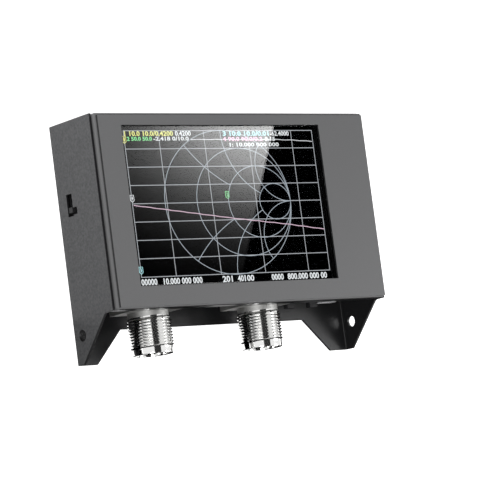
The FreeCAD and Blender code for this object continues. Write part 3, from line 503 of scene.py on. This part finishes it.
def end_tree(tree, given, result, instances):
    """End a tree with real geometry in the given material."""
    real = add_node(tree, "GeometryNodeRealizeInstances", {"Geometry": instances})
    paint = add_node(
        tree,
        "GeometryNodeSetMaterial",
        {"Geometry": real.outputs["Geometry"], "Material": given.outputs["Material"]},
    )
    tree.links.new(paint.outputs["Geometry"], result.inputs["Geometry"])


def bars_tree():
    """A node tree that repeats a thin bar in a row."""
    tree, given, result = new_tree(
        "picture_bars",
        ("Count", "Int"),
        ("Start", "Vector"),
        ("Step", "Vector"),
        ("Bar Size", "Vector"),
        ("Material", "Material"),
    )
    spots = {
        "Count": given.outputs["Count"],
        "Start Location": given.outputs["Start"],
        "Offset": given.outputs["Step"],
    }
    row = add_node(tree, "GeometryNodeMeshLine", spots)
    bar = add_node(tree, "GeometryNodeMeshCube", {"Size": given.outputs["Bar Size"]})
    copies = {"Points": row.outputs["Mesh"], "Instance": bar.outputs["Mesh"]}
    spread = add_node(tree, "GeometryNodeInstanceOnPoints", copies)
    end_tree(tree, given, result, spread.outputs["Instances"])
    return tree


def copies_tree():
    """A node tree that puts a copy of one object at the corners of a rectangle."""
    tree, given, result = new_tree(
        "corner_copies",
        ("Piece", "Object"),
        ("Middle", "Vector"),
        ("Width", "Float"),
        ("Height", "Float"),
        ("Material", "Material"),
    )
    sides = {
        "Size X": given.outputs["Width"],
        "Size Y": given.outputs["Height"],
        "Vertices X": 2,
        "Vertices Y": 2,
    }
    corners = add_node(tree, "GeometryNodeMeshGrid", sides)
    shift = {"Geometry": corners.outputs["Mesh"], "Translation": given.outputs["Middle"]}
    moved = add_node(tree, "GeometryNodeTransform", shift)
    piece = add_node(tree, "GeometryNodeObjectInfo", {"Object": given.outputs["Piece"]})
    copies = {"Points": moved.outputs["Geometry"], "Instance": piece.outputs["Geometry"]}
    spread = add_node(tree, "GeometryNodeInstanceOnPoints", copies)
    end_tree(tree, given, result, spread.outputs["Instances"])
    return tree


def tree_mesh(tree, name, **inputs):
    """Run a node tree with named inputs and return its plain mesh."""
    holder = placed(name, bpy.data.meshes.new(name))
    modifier = holder.modifiers.new("nodes", "NODES")
    modifier.node_group = tree
    for socket in tree.interface.items_tree:
        key = socket.name.lower().replace(" ", "_")
        if socket.in_out == "INPUT":
            modifier[socket.identifier] = inputs[key]
    result = plain_copy(holder)
    bpy.data.objects.remove(holder)
    return result


class ANALYZER_OT_grid(Operator):
    """Straight grid of the display's picture"""

    bl_idname = "analyzer.grid"
    bl_label = "Picture grid"

    def execute(self, context):
        view = look("screen")
        paper = glow("grid_light", view.grid_color, view.glow)
        tree = bars_tree()
        width, height, line = view.grid_width, view.grid_height, view.line
        corner = window_point(view.grid_left, view.grid_foot)
        first = window_point(view.column_start, view.grid_foot)
        middle = layer(GRID_LAYER) + INK / 2
        level, upright = (width + line, line, INK), (line, height, INK)
        row_step, column_step = (0.0, height / view.rows, 0.0), (view.column_step, 0.0, 0.0)
        table = (
            ("grid_rows", view.rows + 1, (corner.x + width / 2, corner.y), row_step, level),
            ("grid_columns", view.columns, (first.x, first.y + height / 2), column_step, upright),
            ("grid_borders", 2, (corner.x, corner.y + height / 2), (width, 0.0, 0.0), upright),
        )
        for name, count, start, step, size in table:
            place = (*start, middle)
            bars = tree_mesh(tree, name, count=count, start=place, step=step, bar_size=size, material=paper)
            add_piece(name, bars, (paper,))
        return {"FINISHED"}


def chart_place(view, across, up):
    """A point of the unit chart, whose radius is 1, on the display."""
    middle = window_point(view.chart_x, view.chart_y)
    return middle + Vector((across * view.chart_stretch, up)) * view.chart_radius


def chart_arc(view, centre, radius, start, end, steps):
    """Points along an arc of the unit chart, between two angles in degrees."""
    points = []
    for i in range(steps):
        angle = math.radians(start + (end - start) * i / (steps - 1))
        across, up = centre[0] + radius * math.cos(angle), centre[1] + radius * math.sin(angle)
        points.append(chart_place(view, across, up))
    return points


# Circles of the chart by their resistance; arcs by their reactance and the circle where each ends.
CHART_RESISTANCES = (0.0, 1 / 3, 1.0, 3.0)
CHART_REACTANCES = ((0.5, 1.0), (1.0, 3.0), (2.0, None))
RING_STEPS = 160
ARC_POINTS = 61


class ANALYZER_OT_chart(Operator):
    """Round impedance chart of the display's picture"""

    bl_idname = "analyzer.chart"
    bl_label = "Picture chart"

    def execute(self, context):
        view = look("screen")
        paper = glow("chart_light", view.chart_color, view.glow)
        bm = bmesh.new()
        for resistance in CHART_RESISTANCES:
            radius = 1 / (1 + resistance)
            ring = chart_arc(view, (1 - radius, 0.0), radius, 0.0, 360.0, RING_STEPS + 1)[:-1]
            ribbon(bm, ring, view.line, layer(CHART_LAYER), INK, closed=True)
        for reactance, ends_at in CHART_REACTANCES:
            radius = 1 / reactance
            outer = 2 * math.degrees(math.atan(reactance))
            inner = 2 * math.degrees(math.atan(reactance / (1 + ends_at))) if ends_at else 0.0
            for side in (1, -1):
                start, end = side * (270.0 - outer), side * (270.0 - inner)
                arc = chart_arc(view, (1.0, side * radius), radius, start, end, ARC_POINTS)
                ribbon(bm, arc, view.line, layer(CHART_LAYER), INK)
        bmesh.ops.recalc_face_normals(bm, faces=bm.faces)
        add_piece("picture_chart", mesh_from(bm, "picture_chart"), (paper,))
        return {"FINISHED"}


# Traces: name, light, width over a line's, points in millimetres from the window's corner.
TRACES = (
    ("sloping_trace", (1.00, 0.72, 0.88), 1.1, ((2.55, 28.7), (45.35, 23.4), (70.35, 20.7), (87.25, 18.5))),
    ("level_trace", (0.95, 0.97, 1.00), 1.0, ((31.35, 51.9), (69.05, 51.8), (78.35, 51.5), (87.0, 51.0))),
)


TRACE_STEPS = 24
TRACE_GLOW = 1.5  # Over the glow of the grid's lines
WAVE_HEIGHT = 0.06  # Millimetres
WAVE_RATE = 0.9  # Radians to the millimetre


class ANALYZER_OT_traces(Operator):
    """Measured curves of the display's picture"""

    bl_idname = "analyzer.traces"
    bl_label = "Picture traces"

    def execute(self, context):
        view = look("screen")
        for number, (name, light, width, corners) in enumerate(TRACES):
            points = []
            for start, end in zip(corners, corners[1:]):
                for i in range(TRACE_STEPS):
                    part = i / TRACE_STEPS
                    across = start[0] + (end[0] - start[0]) * part
                    wave = WAVE_HEIGHT * math.sin(across * WAVE_RATE + number)
                    up = start[1] + (end[1] - start[1]) * part + wave
                    points.append(window_point(across * MM, up * MM))
            points.append(window_point(corners[-1][0] * MM, corners[-1][1] * MM))
            bm = bmesh.new()
            ribbon(bm, points, view.line * width, layer(TRACE_LAYER), INK)
            bmesh.ops.recalc_face_normals(bm, faces=bm.faces)
            paper = glow(name + "_light", light, view.glow * TRACE_GLOW)
            add_piece(name, mesh_from(bm, name), (paper,))
        return {"FINISHED"}


# Plain numbers: text, colour's name, left and right ends, foot and top, in millimetres from the corner.
NUMBERS = (
    ("1 10.0 10.0/0.4200", "yellow", 2.25, 23.65, 53.2, 55.0),
    ("0.4200", "white", 24.5, 31.55, 53.2, 55.0),
    ("2 50.0 50.0", "green", 3.15, 14.1, 51.5, 53.0),
    ("-2.418 0/10.0", "white", 14.7, 30.35, 51.5, 53.0),
    ("3 10.0 10.0/0.01", "cyan", 45.95, 67.0, 53.1, 54.9),
    ("-62.4000", "white", 67.6, 76.45, 53.1, 54.9),
    ("4 90.0 90.0/0.2", "pink", 45.65, 63.8, 51.2, 52.8),
    ("-8.15", "white", 64.0, 69.75, 51.2, 52.8),
    ("1: 10.000 000 000", "white", 48.45, 71.15, 49.2, 50.7),
    ("00000", "white", 1.65, 8.6, 0.5, 2.8),
    ("10.000 000 000", "white", 11.35, 28.45, 0.5, 2.8),
    ("201", "white", 37.45, 42.0, 0.5, 2.8),
    ("40", "white", 44.3, 47.0, 0.5, 2.8),
    ("100", "white", 47.4, 51.75, 0.5, 2.8),
    ("0000", "white", 59.75, 65.35, 0.5, 2.8),
    ("800.000 000 00", "white", 67.2, 85.65, 0.5, 2.8),
)
INKS = {
    "yellow": (0.95, 0.95, 0.30),
    "green": (0.30, 0.95, 0.38),
    "cyan": (0.50, 0.95, 1.00),
    "pink": (1.00, 0.62, 0.82),
    "white": (0.93, 0.96, 0.98),
}
# Markers: digit, colour's name, point at the foot in millimetres from the corner.
MARKERS = (
    ("1", "yellow", 1.95, 50.65),
    ("2", "green", 44.45, 30.5),
    ("3", "cyan", 2.2, 4.5),
    ("4", "white", 2.25, 29.8),
)
FLAG_WIDTH = 1.5
FLAG_POINT = 0.6
FLAG_HEIGHT = 2.5
DIGIT_HALF_WIDTH = 0.3
DIGIT_ABOVE_POINT = 0.1
DIGIT_BELOW_TOP = 0.4
STROKE_OFFSET = 0.028  # Thickens the letters, in the font's own units


def add_number(bm, text, left, right, foot, top):
    """Add a flat closed number that fills a box of the picture, in millimetres from its corner."""
    curve = bpy.data.curves.new("number", "FONT")
    curve.body = text
    curve.offset = STROKE_OFFSET
    curve.resolution_u = 2
    curve.extrude = 0.5
    holder = placed("number", curve)
    mesh = plain_copy(holder)
    bpy.data.objects.remove(holder)
    bpy.data.curves.remove(curve)
    low = [min(vertex.co[i] for vertex in mesh.vertices) for i in range(3)]
    high = [max(vertex.co[i] for vertex in mesh.vertices) for i in range(3)]
    size = ((right - left) * MM, (top - foot) * MM, INK)
    corner = window_point(left * MM, foot * MM)
    scale = [part / (end - start) for part, start, end in zip(size, low, high)]
    to_corner = Matrix.Translation((*corner, layer(NUMBER_LAYER)))
    from_low = Matrix.Translation([-v for v in low])
    mesh.transform(to_corner @ Matrix.Diagonal((*scale, 1.0)) @ from_low)
    bm.from_mesh(mesh)
    bpy.data.meshes.remove(mesh)


def add_flag(bm, digit, x, y, line):
    """Add a small outlined marker with its digit, its point at a place of the picture."""
    half, shoulder, top = FLAG_WIDTH / 2, y + FLAG_POINT, y + FLAG_HEIGHT
    outline = ((x, y), (x + half, shoulder), (x + half, top), (x - half, top), (x - half, shoulder))
    points = [window_point(across * MM, up * MM) for across, up in outline]
    ribbon(bm, points, line, layer(FLAG_LAYER), INK, closed=True)
    foot, head = shoulder + DIGIT_ABOVE_POINT, top - DIGIT_BELOW_TOP
    add_number(bm, digit, x - DIGIT_HALF_WIDTH, x + DIGIT_HALF_WIDTH, foot, head)


class ANALYZER_OT_numbers(Operator):
    """Plain numbers and markers of the display's picture"""

    bl_idname = "analyzer.numbers"
    bl_label = "Picture numbers"

    def execute(self, context):
        view = look("screen")
        for ink, light in INKS.items():
            bm = bmesh.new()
            for text, named, left, right, foot, top in NUMBERS:
                if named == ink:
                    add_number(bm, text, left, right, foot, top)
            for digit, named, x, y in MARKERS:
                if named == ink:
                    add_flag(bm, digit, x, y, view.line)
            bmesh.ops.remove_doubles(bm, verts=bm.verts, dist=1e-8)
            bmesh.ops.recalc_face_normals(bm, faces=bm.faces)
            name = "numbers_" + ink
            paper = glow("ink_" + ink, light, view.text_glow)
            add_piece(name, mesh_from(bm, name), (paper,))
        return {"FINISHED"}


COLUMNS = 96  # Vertices round a barrel
# One turn of the thread: share of the pitch, share of the depth, from crest to root and back.
THREAD_PROFILE = (
    (0.00, 0.86), (0.04, 1.0), (0.14, 1.0), (0.18, 0.86),
    (0.53, 0.08), (0.57, 0.0), (0.61, 0.0), (0.65, 0.08),
)
# In turns: how long the thread fades at each end, where it has faded, where its rows stop.
FADE_TURNS = 0.5
FADED_PAST_END = 1.1
ROWS_PAST_END = 1.3

# Distances along a jack from its mouth.
FRONT_RING = 0.6 * MM
BORE_FLOOR = 2.5 * MM
THREAD_TOP = 12.85 * MM
# Where the darker nickel starts: its colour is painted shade on the neck's upper part and the flange.
SHADED_NICKEL_START = 13.3 * MM
FLANGE_FACE = 15.15 * MM
FLANGE_BACK = 17.65 * MM
# How far the turned barrel stops short of the thread's first row and of the flange's two faces.
NECK_PAST_THREAD = 1.16 * MM
NECK_INTO_FLANGE = 0.3 * MM
BORE_SHORT_OF_BACK = 0.4 * MM
# Radii of a jack's bores, and the roundings of its edges.
BORE_RADIUS = 5.6 * MM
INNER_RADIUS = 4.1 * MM
MOUTH_ROUNDING = 0.2 * MM
BORE_ROUNDING = 0.15 * MM
STEP_CHAMFER = 0.1 * MM
CORNER_STEPS = 4
SLACK = 0.05 * MM


def fade(part):
    """A smooth step from 0 to 1."""
    part = max(0.0, min(part, 1.0))
    return part * part * (3 - 2 * part)


def turned_rings(bm, axis, rows):
    """Join rows of (radius, height) round an upright axis at (x, z); returns the rings of vertices."""
    rings = []
    for radius, height in rows:
        ring = []
        for k in range(COLUMNS):
            angle = 2 * math.pi * k / COLUMNS
            place = (axis[0] + radius * math.cos(angle), height, axis[1] + radius * math.sin(angle))
            ring.append(bm.verts.new(place))
        rings.append(ring)
    for first, second in zip(rings, rings[1:]):
        for k in range(COLUMNS):
            bm.faces.new((first[k], first[(k + 1) % COLUMNS], second[(k + 1) % COLUMNS], second[k]))
    return rings


def add_thread(bm, axis, top, settings, before, after):
    """Wind a right-hand thread down the barrel, between the ring before it and the ring after it."""
    step = len(THREAD_PROFILE)
    turns = settings.thread / settings.pitch
    count = int((turns + ROWS_PAST_END) * step)
    depth = settings.radius - settings.root
    columns = []
    for k in range(COLUMNS):
        angle = 2 * math.pi * k / COLUMNS
        column = []
        for j in range(count):
            along, out = THREAD_PROFILE[j % step]
            turn = j // step + along + k / COLUMNS
            body = fade((turn - 1.0) / FADE_TURNS) * fade((turns + FADED_PAST_END - turn) / FADE_TURNS)
            radius = settings.root + depth * out * body
            height = top + settings.pitch * (1.0 - turn)
            place = (axis[0] + radius * math.cos(angle), height, axis[1] + radius * math.sin(angle))
            column.append(bm.verts.new(place))
        columns.append(column)
    for k in range(COLUMNS):
        beside = columns[(k + 1) % COLUMNS]
        shift = step if k == COLUMNS - 1 else 0
        for j in range(count - 1 - shift):
            here = columns[k]
            bm.faces.new((here[j], beside[j + shift], beside[j + shift + 1], here[j + 1]))
    for k in range(COLUMNS - 1):
        bm.faces.new((before[k], before[k + 1], columns[k + 1][0], columns[k][0]))
        bm.faces.new((columns[k][-1], columns[k + 1][-1], after[k + 1], after[k]))
    first, last = columns[0], columns[-1]
    bm.faces.new((before[-1], before[0], *first[: step + 1], last[0]))
    bm.faces.new((*last[-step - 1:], after[-1], after[0], first[-1]))


def mouth_rows(mouth, outer):
    """Rows of (radius, height) round the barrel's outer edge and then the bore's edge."""
    rounding, edge = [], []
    for i in range(CORNER_STEPS + 1):
        angle = math.radians(90.0 * i / CORNER_STEPS)
        across, along = 1.0 - math.cos(angle), 1.0 - math.sin(angle)
        rounding.append((outer - MOUTH_ROUNDING * across, mouth + MOUTH_ROUNDING * along))
        edge.append((BORE_RADIUS + BORE_ROUNDING * along, mouth + BORE_ROUNDING * across))
    return rounding + edge


class ANALYZER_OT_jacks(Operator):
    """Threaded coaxial jacks with their insulators and centre contacts"""

    bl_idname = "analyzer.jacks"
    bl_label = "Jacks"

    def execute(self, context):
        settings = look("jack")
        chrome = finish(
            "jack_nickel", settings.plating, settings.roughness,
            metallic=1.0, grain=0.0006, spread=0.02, bump=0.0000006, stretch=(0.3, 2.0, 0.3),
        )
        resin = finish("insulator_white", (0.80, 0.79, 0.76), 0.45, spread=0.02)
        gold = finish("contact_gold", (0.83, 0.62, 0.28), 0.22, metallic=1.0, spread=0.04)
        # Rougher nickel whose darker colour is painted shade on the neck's upper part and the flange.
        shaded_nickel = finish("flange_nickel", (0.40, 0.40, 0.39), 0.55, metallic=1.0, spread=0.05)
        for number in (1, 2):
            name = f"port_{number}_jack"
            jack = self.jack_mesh(name, settings)
            add_piece(name + "_threaded", jack, (chrome, shaded_nickel), stands_for=[name])
            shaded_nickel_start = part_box(name)[0].y + SHADED_NICKEL_START
            paint_second(jack, lambda centre, normal: centre.y > shaded_nickel_start)
            dress(f"port_{number}_insulator", resin)
            dress(f"port_{number}_contact", gold)
        return {"FINISHED"}

    def jack_mesh(self, name, settings):
        """Flange and legs from the frame, and a turned barrel with a true thread."""
        contact_low, contact_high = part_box(name.replace("jack", "contact"))
        axis = ((contact_low.x + contact_high.x) / 2, (contact_low.z + contact_high.z) / 2)
        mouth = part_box(name)[0].y
        thread_top, floor = mouth + THREAD_TOP, mouth + BORE_FLOOR
        flange_face, flange_back = mouth + FLANGE_FACE, mouth + FLANGE_BACK
        bm = merged(name)
        barrel = []
        for face in bm.faces:
            centre = face.calc_center_median()
            radius = math.hypot(centre.x - axis[0], centre.z - axis[1])
            in_bore = radius < INNER_RADIUS + SLACK and centre.y < flange_back
            if centre.y < flange_face - SLACK or in_bore:
                barrel.append(face)
        bmesh.ops.delete(bm, geom=barrel, context="FACES")
        loose = [vertex for vertex in bm.verts if not vertex.link_faces]
        bmesh.ops.delete(bm, geom=loose, context="VERTS")
        open_edges = [edge for edge in bm.edges if len(edge.link_faces) == 1]
        front_edges = [edge for edge in open_edges if edge.verts[0].co.y < (flange_face + flange_back) / 2]
        back_edges = [edge for edge in open_edges if edge not in front_edges]
        neck = turned_rings(bm, axis, (
            (settings.root, flange_face - NECK_INTO_FLANGE),
            (settings.root, thread_top + NECK_PAST_THREAD),
        ))
        rest = turned_rings(bm, axis, (
            (settings.root, mouth + FRONT_RING),
            *mouth_rows(mouth, settings.root),
            (BORE_RADIUS, floor),
            (INNER_RADIUS + STEP_CHAMFER, floor),
            (INNER_RADIUS, floor + STEP_CHAMFER),
            (INNER_RADIUS, flange_back - BORE_SHORT_OF_BACK),
        ))
        add_thread(bm, axis, thread_top, settings, neck[-1], rest[0])
        for edges, loop in ((front_edges, neck[0]), (back_edges, rest[-1])):
            ring_edges = [bm.edges.get((loop[k], loop[(k + 1) % COLUMNS])) for k in range(COLUMNS)]
            bmesh.ops.bridge_loops(bm, edges=edges + ring_edges)
        bmesh.ops.recalc_face_normals(bm, faces=bm.faces)
        return mesh_from(bm, name + "_threaded", 40.0)


class ANALYZER_OT_controls(Operator):
    """Button caps, their bodies, the slide switch and its lever"""

    bl_idname = "analyzer.controls"
    bl_label = "Buttons and switch"

    def execute(self, context):
        black = finish("moulded_black", (0.012, 0.012, 0.013), 0.5, grain=0.0003, bump=0.000004, gloss=0.2)
        grey = finish("lever_grey", (0.020, 0.020, 0.021), 0.5, grain=0.0003, bump=0.000004, gloss=0.2)
        for side in ("left", "right"):
            node = f"button_cap_{side}"
            cap = softened(node, 0.3 * MM)
            add_piece(node + "_moulded", cap, (black,), f"button_{side}", [node])
        lever = softened("power_slider", 0.2 * MM)
        add_piece("power_lever_moulded", lever, (grey,), "power_slider", ["power_slider"])
        dress("button_bodies", black)
        dress("power_switch", black)
        return {"FINISHED"}


class ANALYZER_OT_screws(Operator):
    """Four countersunk cross-recess screws in the rear plate"""

    bl_idname = "analyzer.screws"
    bl_label = "Case screws"

    def execute(self, context):
        black = finish("screw_black", (0.05, 0.05, 0.055), 0.35, metallic=1.0, spread=0.1)
        low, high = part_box("case_screws")
        bm = merged("case_screws")
        middle = (low + high) / 2
        others = [v for v in bm.verts if v.co.x > middle.x or v.co.y > middle.y]
        bmesh.ops.delete(bm, geom=others, context="VERTS")
        head = max(v.co.x for v in bm.verts) - low.x
        corner = Vector((low.x + head / 2, low.y + head / 2, 0.0))
        bmesh.ops.translate(bm, verts=bm.verts, vec=-corner)
        screw = placed("one_screw", rounded(bm, "one_screw", 0.06 * MM, 2))
        inputs = {
            "piece": screw,
            "middle": (middle.x, middle.y, 0.0),
            "width": high.x - low.x - head,
            "height": high.y - low.y - head,
            "material": black,
        }
        screws = tree_mesh(copies_tree(), "case_screws_turned", **inputs)
        bpy.data.objects.remove(screw)
        add_piece("case_screws_turned", screws, (black,), stands_for=["case_screws"])
        return {"FINISHED"}


class ANALYZER_OT_small_parts(Operator):
    """Charging port, lamps, posts and what the case holds"""

    bl_idname = "analyzer.small_parts"
    bl_label = "Small parts"

    def execute(self, context):
        steel = finish(
            "bright_steel", (0.62, 0.62, 0.63), 0.28,
            metallic=1.0, grain=0.0004, spread=0.04, bump=0.000001, stretch=(1.0, 6.0, 1.0),
        )
        black = finish("port_black", (0.015, 0.015, 0.016), 0.45)
        resin = finish("lamp_resin", (0.80, 0.82, 0.84), 0.2)
        mask = finish("board_green", (0.008, 0.022, 0.014), 0.4, grain=0.001, spread=0.2, gloss=0.15)
        brass = finish("post_brass", (0.70, 0.55, 0.30), 0.3, metallic=1.0)
        foil = finish("pouch_foil", (0.6, 0.6, 0.62), 0.4, metallic=1.0, grain=0.002, bump=0.00002)
        film = finish("ribbon_amber", (0.45, 0.25, 0.05), 0.3)
        red = finish("lead_red", (0.35, 0.03, 0.03), 0.5)
        white = finish("connector_white", (0.8, 0.79, 0.74), 0.5)
        guide = finish("light_guide", (0.85, 0.86, 0.88), 0.5)
        foam = finish("adhesive_black", (0.012, 0.012, 0.012), 0.8, gloss=0.1)
        table = (
            ("usb_socket", steel, "bright_steel"),
            ("usb_tongue", black, "moulded_black"),
            ("status_lamps", resin, "lamp_resin"),
            ("main_board", mask, "board_mask"),
            ("board_chips", black, "moulded_black"),
            ("shield_cans", steel, "bright_steel"),
            ("display_frame", steel, "bright_steel"),
            ("back_light", guide, "light_guide"),
            ("display_ribbon", film, "ribbon_film"),
            ("ribbon_socket", white, "connector_white"),
            ("front_posts", brass, "post_brass"),
            ("rear_posts", brass, "post_brass"),
            ("battery", foil, "pouch_foil"),
            ("battery_pad", foam, "adhesive"),
            ("screen_gasket", foam, "adhesive"),
            ("battery_leads", red, "lead_jacket"),
            ("battery_plug", white, "connector_white"),
            ("battery_socket", white, "connector_white"),
        )
        for node, material, slot in table:
            dress(node, material)
        return {"FINISHED"}


# The camera's place and the directions of its axes.
CAMERA_PLACE = Vector((-0.68130, -0.13607, 0.86418))
CAMERA_RIGHT = Vector((0.778758, -0.128465, 0.614030))
CAMERA_UP = Vector((0.026365, 0.984645, 0.172565))
CAMERA_AHEAD = Vector((0.626770, 0.118197, -0.770188))

LAMP_TARGET = (-0.02, 0.0, 0.015)
FLOOR_HALF = 4.0
FLOOR_HEIGHT = -0.1 * MM  # Just under the rear plate, so that the two don't share a plane

# Cards that only glass and metal see: name, corners in order, height, brightness.
DARK_CARDS = (
    ("dark_card_glass", ((0.1677, 0.082), (0.1321, 0.0), (0.215, 0.0), (0.215, 0.082)), 0.2, 0.0),
    ("dark_strip_overhead", ((-0.93, -4.0), (0.46, -4.0), (0.46, 4.0), (-0.93, 4.0)), 2.0, 0.035),
    ("dark_card_front", ((-3.0, -30.0), (3.0, -30.0), (3.0, -0.35), (-3.0, -0.35)), 0.15, 0.02),
    # Painted shadow of the floor along the case's front, as glass and metal see it.
    (
        "dark_card_case",
        ((-0.055, -0.0335), (0.020, -0.0335), (0.020, -0.0265), (-0.055, -0.0265)),
        0.0004,
        0.0,
    ),
    # Dark floor in front of the case as glass and metal see it: painted shadow near the case, with the lit
    # floor under each jack left out.
    (
        "dark_card_floor",
        (
            (-3.0, -4.0), (3.0, -4.0), (0.110, -0.60), (0.110, -0.0265), (0.0185, -0.0265), (0.0185, -0.043),
            (-0.0048, -0.043), (0.0032, -0.031), (0.0050, -0.0265), (-0.0308, -0.0265), (-0.0308, -0.043),
            (-0.0541, -0.043), (-0.0461, -0.031), (-0.0441, -0.0265), (-0.30, -0.0265), (-0.30, -0.60),
        ),
        0.0003,
        0.0,
    ),
)
# The bright card, and the middle and spread of its light across it.
BRIGHT_CARD = (((0.600, 0.118), (0.7805, 0.118), (0.8594, 0.300), (0.600, 0.300)), 1.0)
GLARE_MIDDLE = (0.835, 0.247)
GLARE_SPREAD = (0.072, 0.0385)


def aim(thing, place, target):
    """Put a lamp at a place, facing a target."""
    thing.location = place
    thing.rotation_euler = (Vector(target) - Vector(place)).to_track_quat("-Z", "Y").to_euler()


def bare_material(name):
    """A material with an empty node tree; returns both."""
    material = bpy.data.materials.new(name)
    material.use_nodes = True
    material.node_tree.nodes.clear()
    return material, material.node_tree


def show(tree, shader):
    """Make a shader node the tree's surface."""
    add_node(tree, "ShaderNodeOutputMaterial", {"Surface": shader.outputs[0]})


class ANALYZER_OT_stage(Operator):
    """Camera, pale floor, lamps and the cards that glass and metal reflect"""

    bl_idname = "analyzer.stage"
    bl_label = "Stage"

    def execute(self, context):
        settings = look("stage")
        scene = bpy.context.scene
        camera = placed("camera", bpy.data.cameras.new("camera"))
        camera.data.lens = settings.lens
        camera.data.sensor_width = 36.0
        camera.data.clip_end = 20.0
        turn = Matrix((CAMERA_RIGHT, CAMERA_UP, -CAMERA_AHEAD)).transposed().to_4x4()
        camera.matrix_world = Matrix.Translation(CAMERA_PLACE) @ turn
        scene.camera = camera
        self.add_floor(settings)
        self.add_world(settings)
        self.add_lamps(settings)
        self.add_cards(settings)
        scene.view_settings.view_transform = "Standard"
        return {"FINISHED"}

    def seen_white(self, tree):
        """1 for rays from the camera and from glass and metal, 0 for light that falls on the object."""
        path = add_node(tree, "ShaderNodeLightPath")
        seen = path.outputs["Is Camera Ray"]
        for kind in ("Is Glossy Ray", "Is Transmission Ray"):
            seen = calculated(tree, "MAXIMUM", seen, path.outputs[kind])
        return seen

    def add_floor(self, settings):
        """Paper that only gives the object its light back, and looks white all over."""
        bm = bmesh.new()
        bmesh.ops.create_grid(bm, x_segments=1, y_segments=1, size=FLOOR_HALF)
        bmesh.ops.translate(bm, verts=bm.verts, vec=(0.0, 0.0, FLOOR_HEIGHT))
        mesh = mesh_from(bm, "floor")
        floor = placed("floor", mesh)
        material, tree = bare_material("floor_paper")
        diffuse = add_node(tree, "ShaderNodeBsdfDiffuse", {"Color": (*settings.floor, 1.0)})
        bright = add_node(tree, "ShaderNodeEmission", {"Strength": self.seen_white(tree)})
        show(tree, add_node(tree, "ShaderNodeAddShader", {0: diffuse.outputs[0], 1: bright.outputs[0]}))
        mesh.materials.append(material)

    def add_world(self, settings):
        """A white surround whose light on the object is dim."""
        world = bpy.data.worlds.new("studio")
        world.use_nodes = True
        bpy.context.scene.world = world
        tree = world.node_tree
        levels = {"Value": self.seen_white(tree), "To Min": settings.ambient, "To Max": 1.0}
        strength = add_node(tree, "ShaderNodeMapRange", levels)
        tree.links.new(strength.outputs["Result"], tree.nodes["Background"].inputs["Strength"])
        tree.nodes["Background"].inputs["Color"].default_value = (1.0, 1.0, 1.0, 1.0)

    def add_lamps(self, settings):
        """Square lamps, all aimed at the case."""
        lamps = (
            ("key_lamp", settings.key, (-0.75, -0.35, 0.95), 0.5),
            ("fill_lamp", settings.fill, (0.35, -0.12, 0.30), 0.2),
            ("side_lamp", settings.side, (-0.16, 0.12, 0.06), 0.05),
        )
        for name, power, place, size in lamps:
            lamp = bpy.data.lights.new(name, "AREA")
            lamp.energy = power
            lamp.size = size
            aim(placed(name, lamp), place, LAMP_TARGET)

    def add_card(self, name, corners, height, material):
        """A level card that casts no shadow and that the camera doesn't see."""
        bm = bmesh.new()
        bm.faces.new([bm.verts.new((*corner, height)) for corner in corners])
        mesh = mesh_from(bm, name)
        mesh.materials.append(material)
        card = placed(name, mesh)
        card.visible_camera = False
        card.visible_diffuse = False
        card.visible_shadow = False

    def add_cards(self, settings):
        """Dark cards, and a bright one whose light falls off in a bell curve."""
        for name, corners, height, strength in DARK_CARDS:
            dark, tree = bare_material(name)
            show(tree, add_node(tree, "ShaderNodeEmission", {"Strength": strength}))
            self.add_card(name, corners, height, dark)
        bright, tree = bare_material("card_glare")
        place = add_node(tree, "ShaderNodeTexCoord")
        parts = add_node(tree, "ShaderNodeSeparateXYZ", {"Vector": place.outputs["Object"]})
        squares = []
        for part, middle, spread in zip(("X", "Y"), GLARE_MIDDLE, GLARE_SPREAD):
            away = calculated(tree, "SUBTRACT", parts.outputs[part], middle)
            squares.append(calculated(tree, "POWER", calculated(tree, "DIVIDE", away, spread), 2.0))
        half = calculated(tree, "MULTIPLY", calculated(tree, "ADD", *squares), -0.5)
        peak = calculated(tree, "MULTIPLY", calculated(tree, "EXPONENT", half), settings.glare)
        show(tree, add_node(tree, "ShaderNodeEmission", {"Strength": peak}))
        self.add_card("glare_card", *BRIGHT_CARD, bright)


LOOKS = {"case": CaseLook, "screen": ScreenLook, "jack": JackLook, "stage": StageLook}
STEPS = (
    ANALYZER_OT_stage,
    ANALYZER_OT_case,
    ANALYZER_OT_glass,
    ANALYZER_OT_display,
    ANALYZER_OT_grid,
    ANALYZER_OT_chart,
    ANALYZER_OT_traces,
    ANALYZER_OT_numbers,
    ANALYZER_OT_jacks,
    ANALYZER_OT_controls,
    ANALYZER_OT_screws,
    ANALYZER_OT_small_parts,
)


class ANALYZER_PT_looks(Panel):
    """The analyzer's pieces, in the sidebar"""

    bl_idname = "ANALYZER_PT_looks"
    bl_label = "Antenna analyzer"
    bl_space_type = "VIEW_3D"
    bl_region_type = "UI"
    bl_category = "Analyzer"

    def draw(self, context):
        for name, kind in LOOKS.items():
            box = self.layout.box()
            for prop in kind.__annotations__:
                box.prop(look(name), prop)
        for step in STEPS:
            self.layout.operator(step.bl_idname)


def register():
    for kind in (*LOOKS.values(), *STEPS, ANALYZER_PT_looks):
        bpy.utils.register_class(kind)
    for name, kind in LOOKS.items():
        setattr(bpy.types.Scene, "analyzer_" + name, PointerProperty(type=kind))


def unregister():
    for name in LOOKS:
        delattr(bpy.types.Scene, "analyzer_" + name)
    for kind in reversed((*LOOKS.values(), *STEPS, ANALYZER_PT_looks)):
        bpy.utils.unregister_class(kind)


def main():
    register()
    for step in STEPS:
        group, name = step.bl_idname.split(".")
        getattr(getattr(bpy.ops, group), name)()


if __name__ == "__main__":
    main()
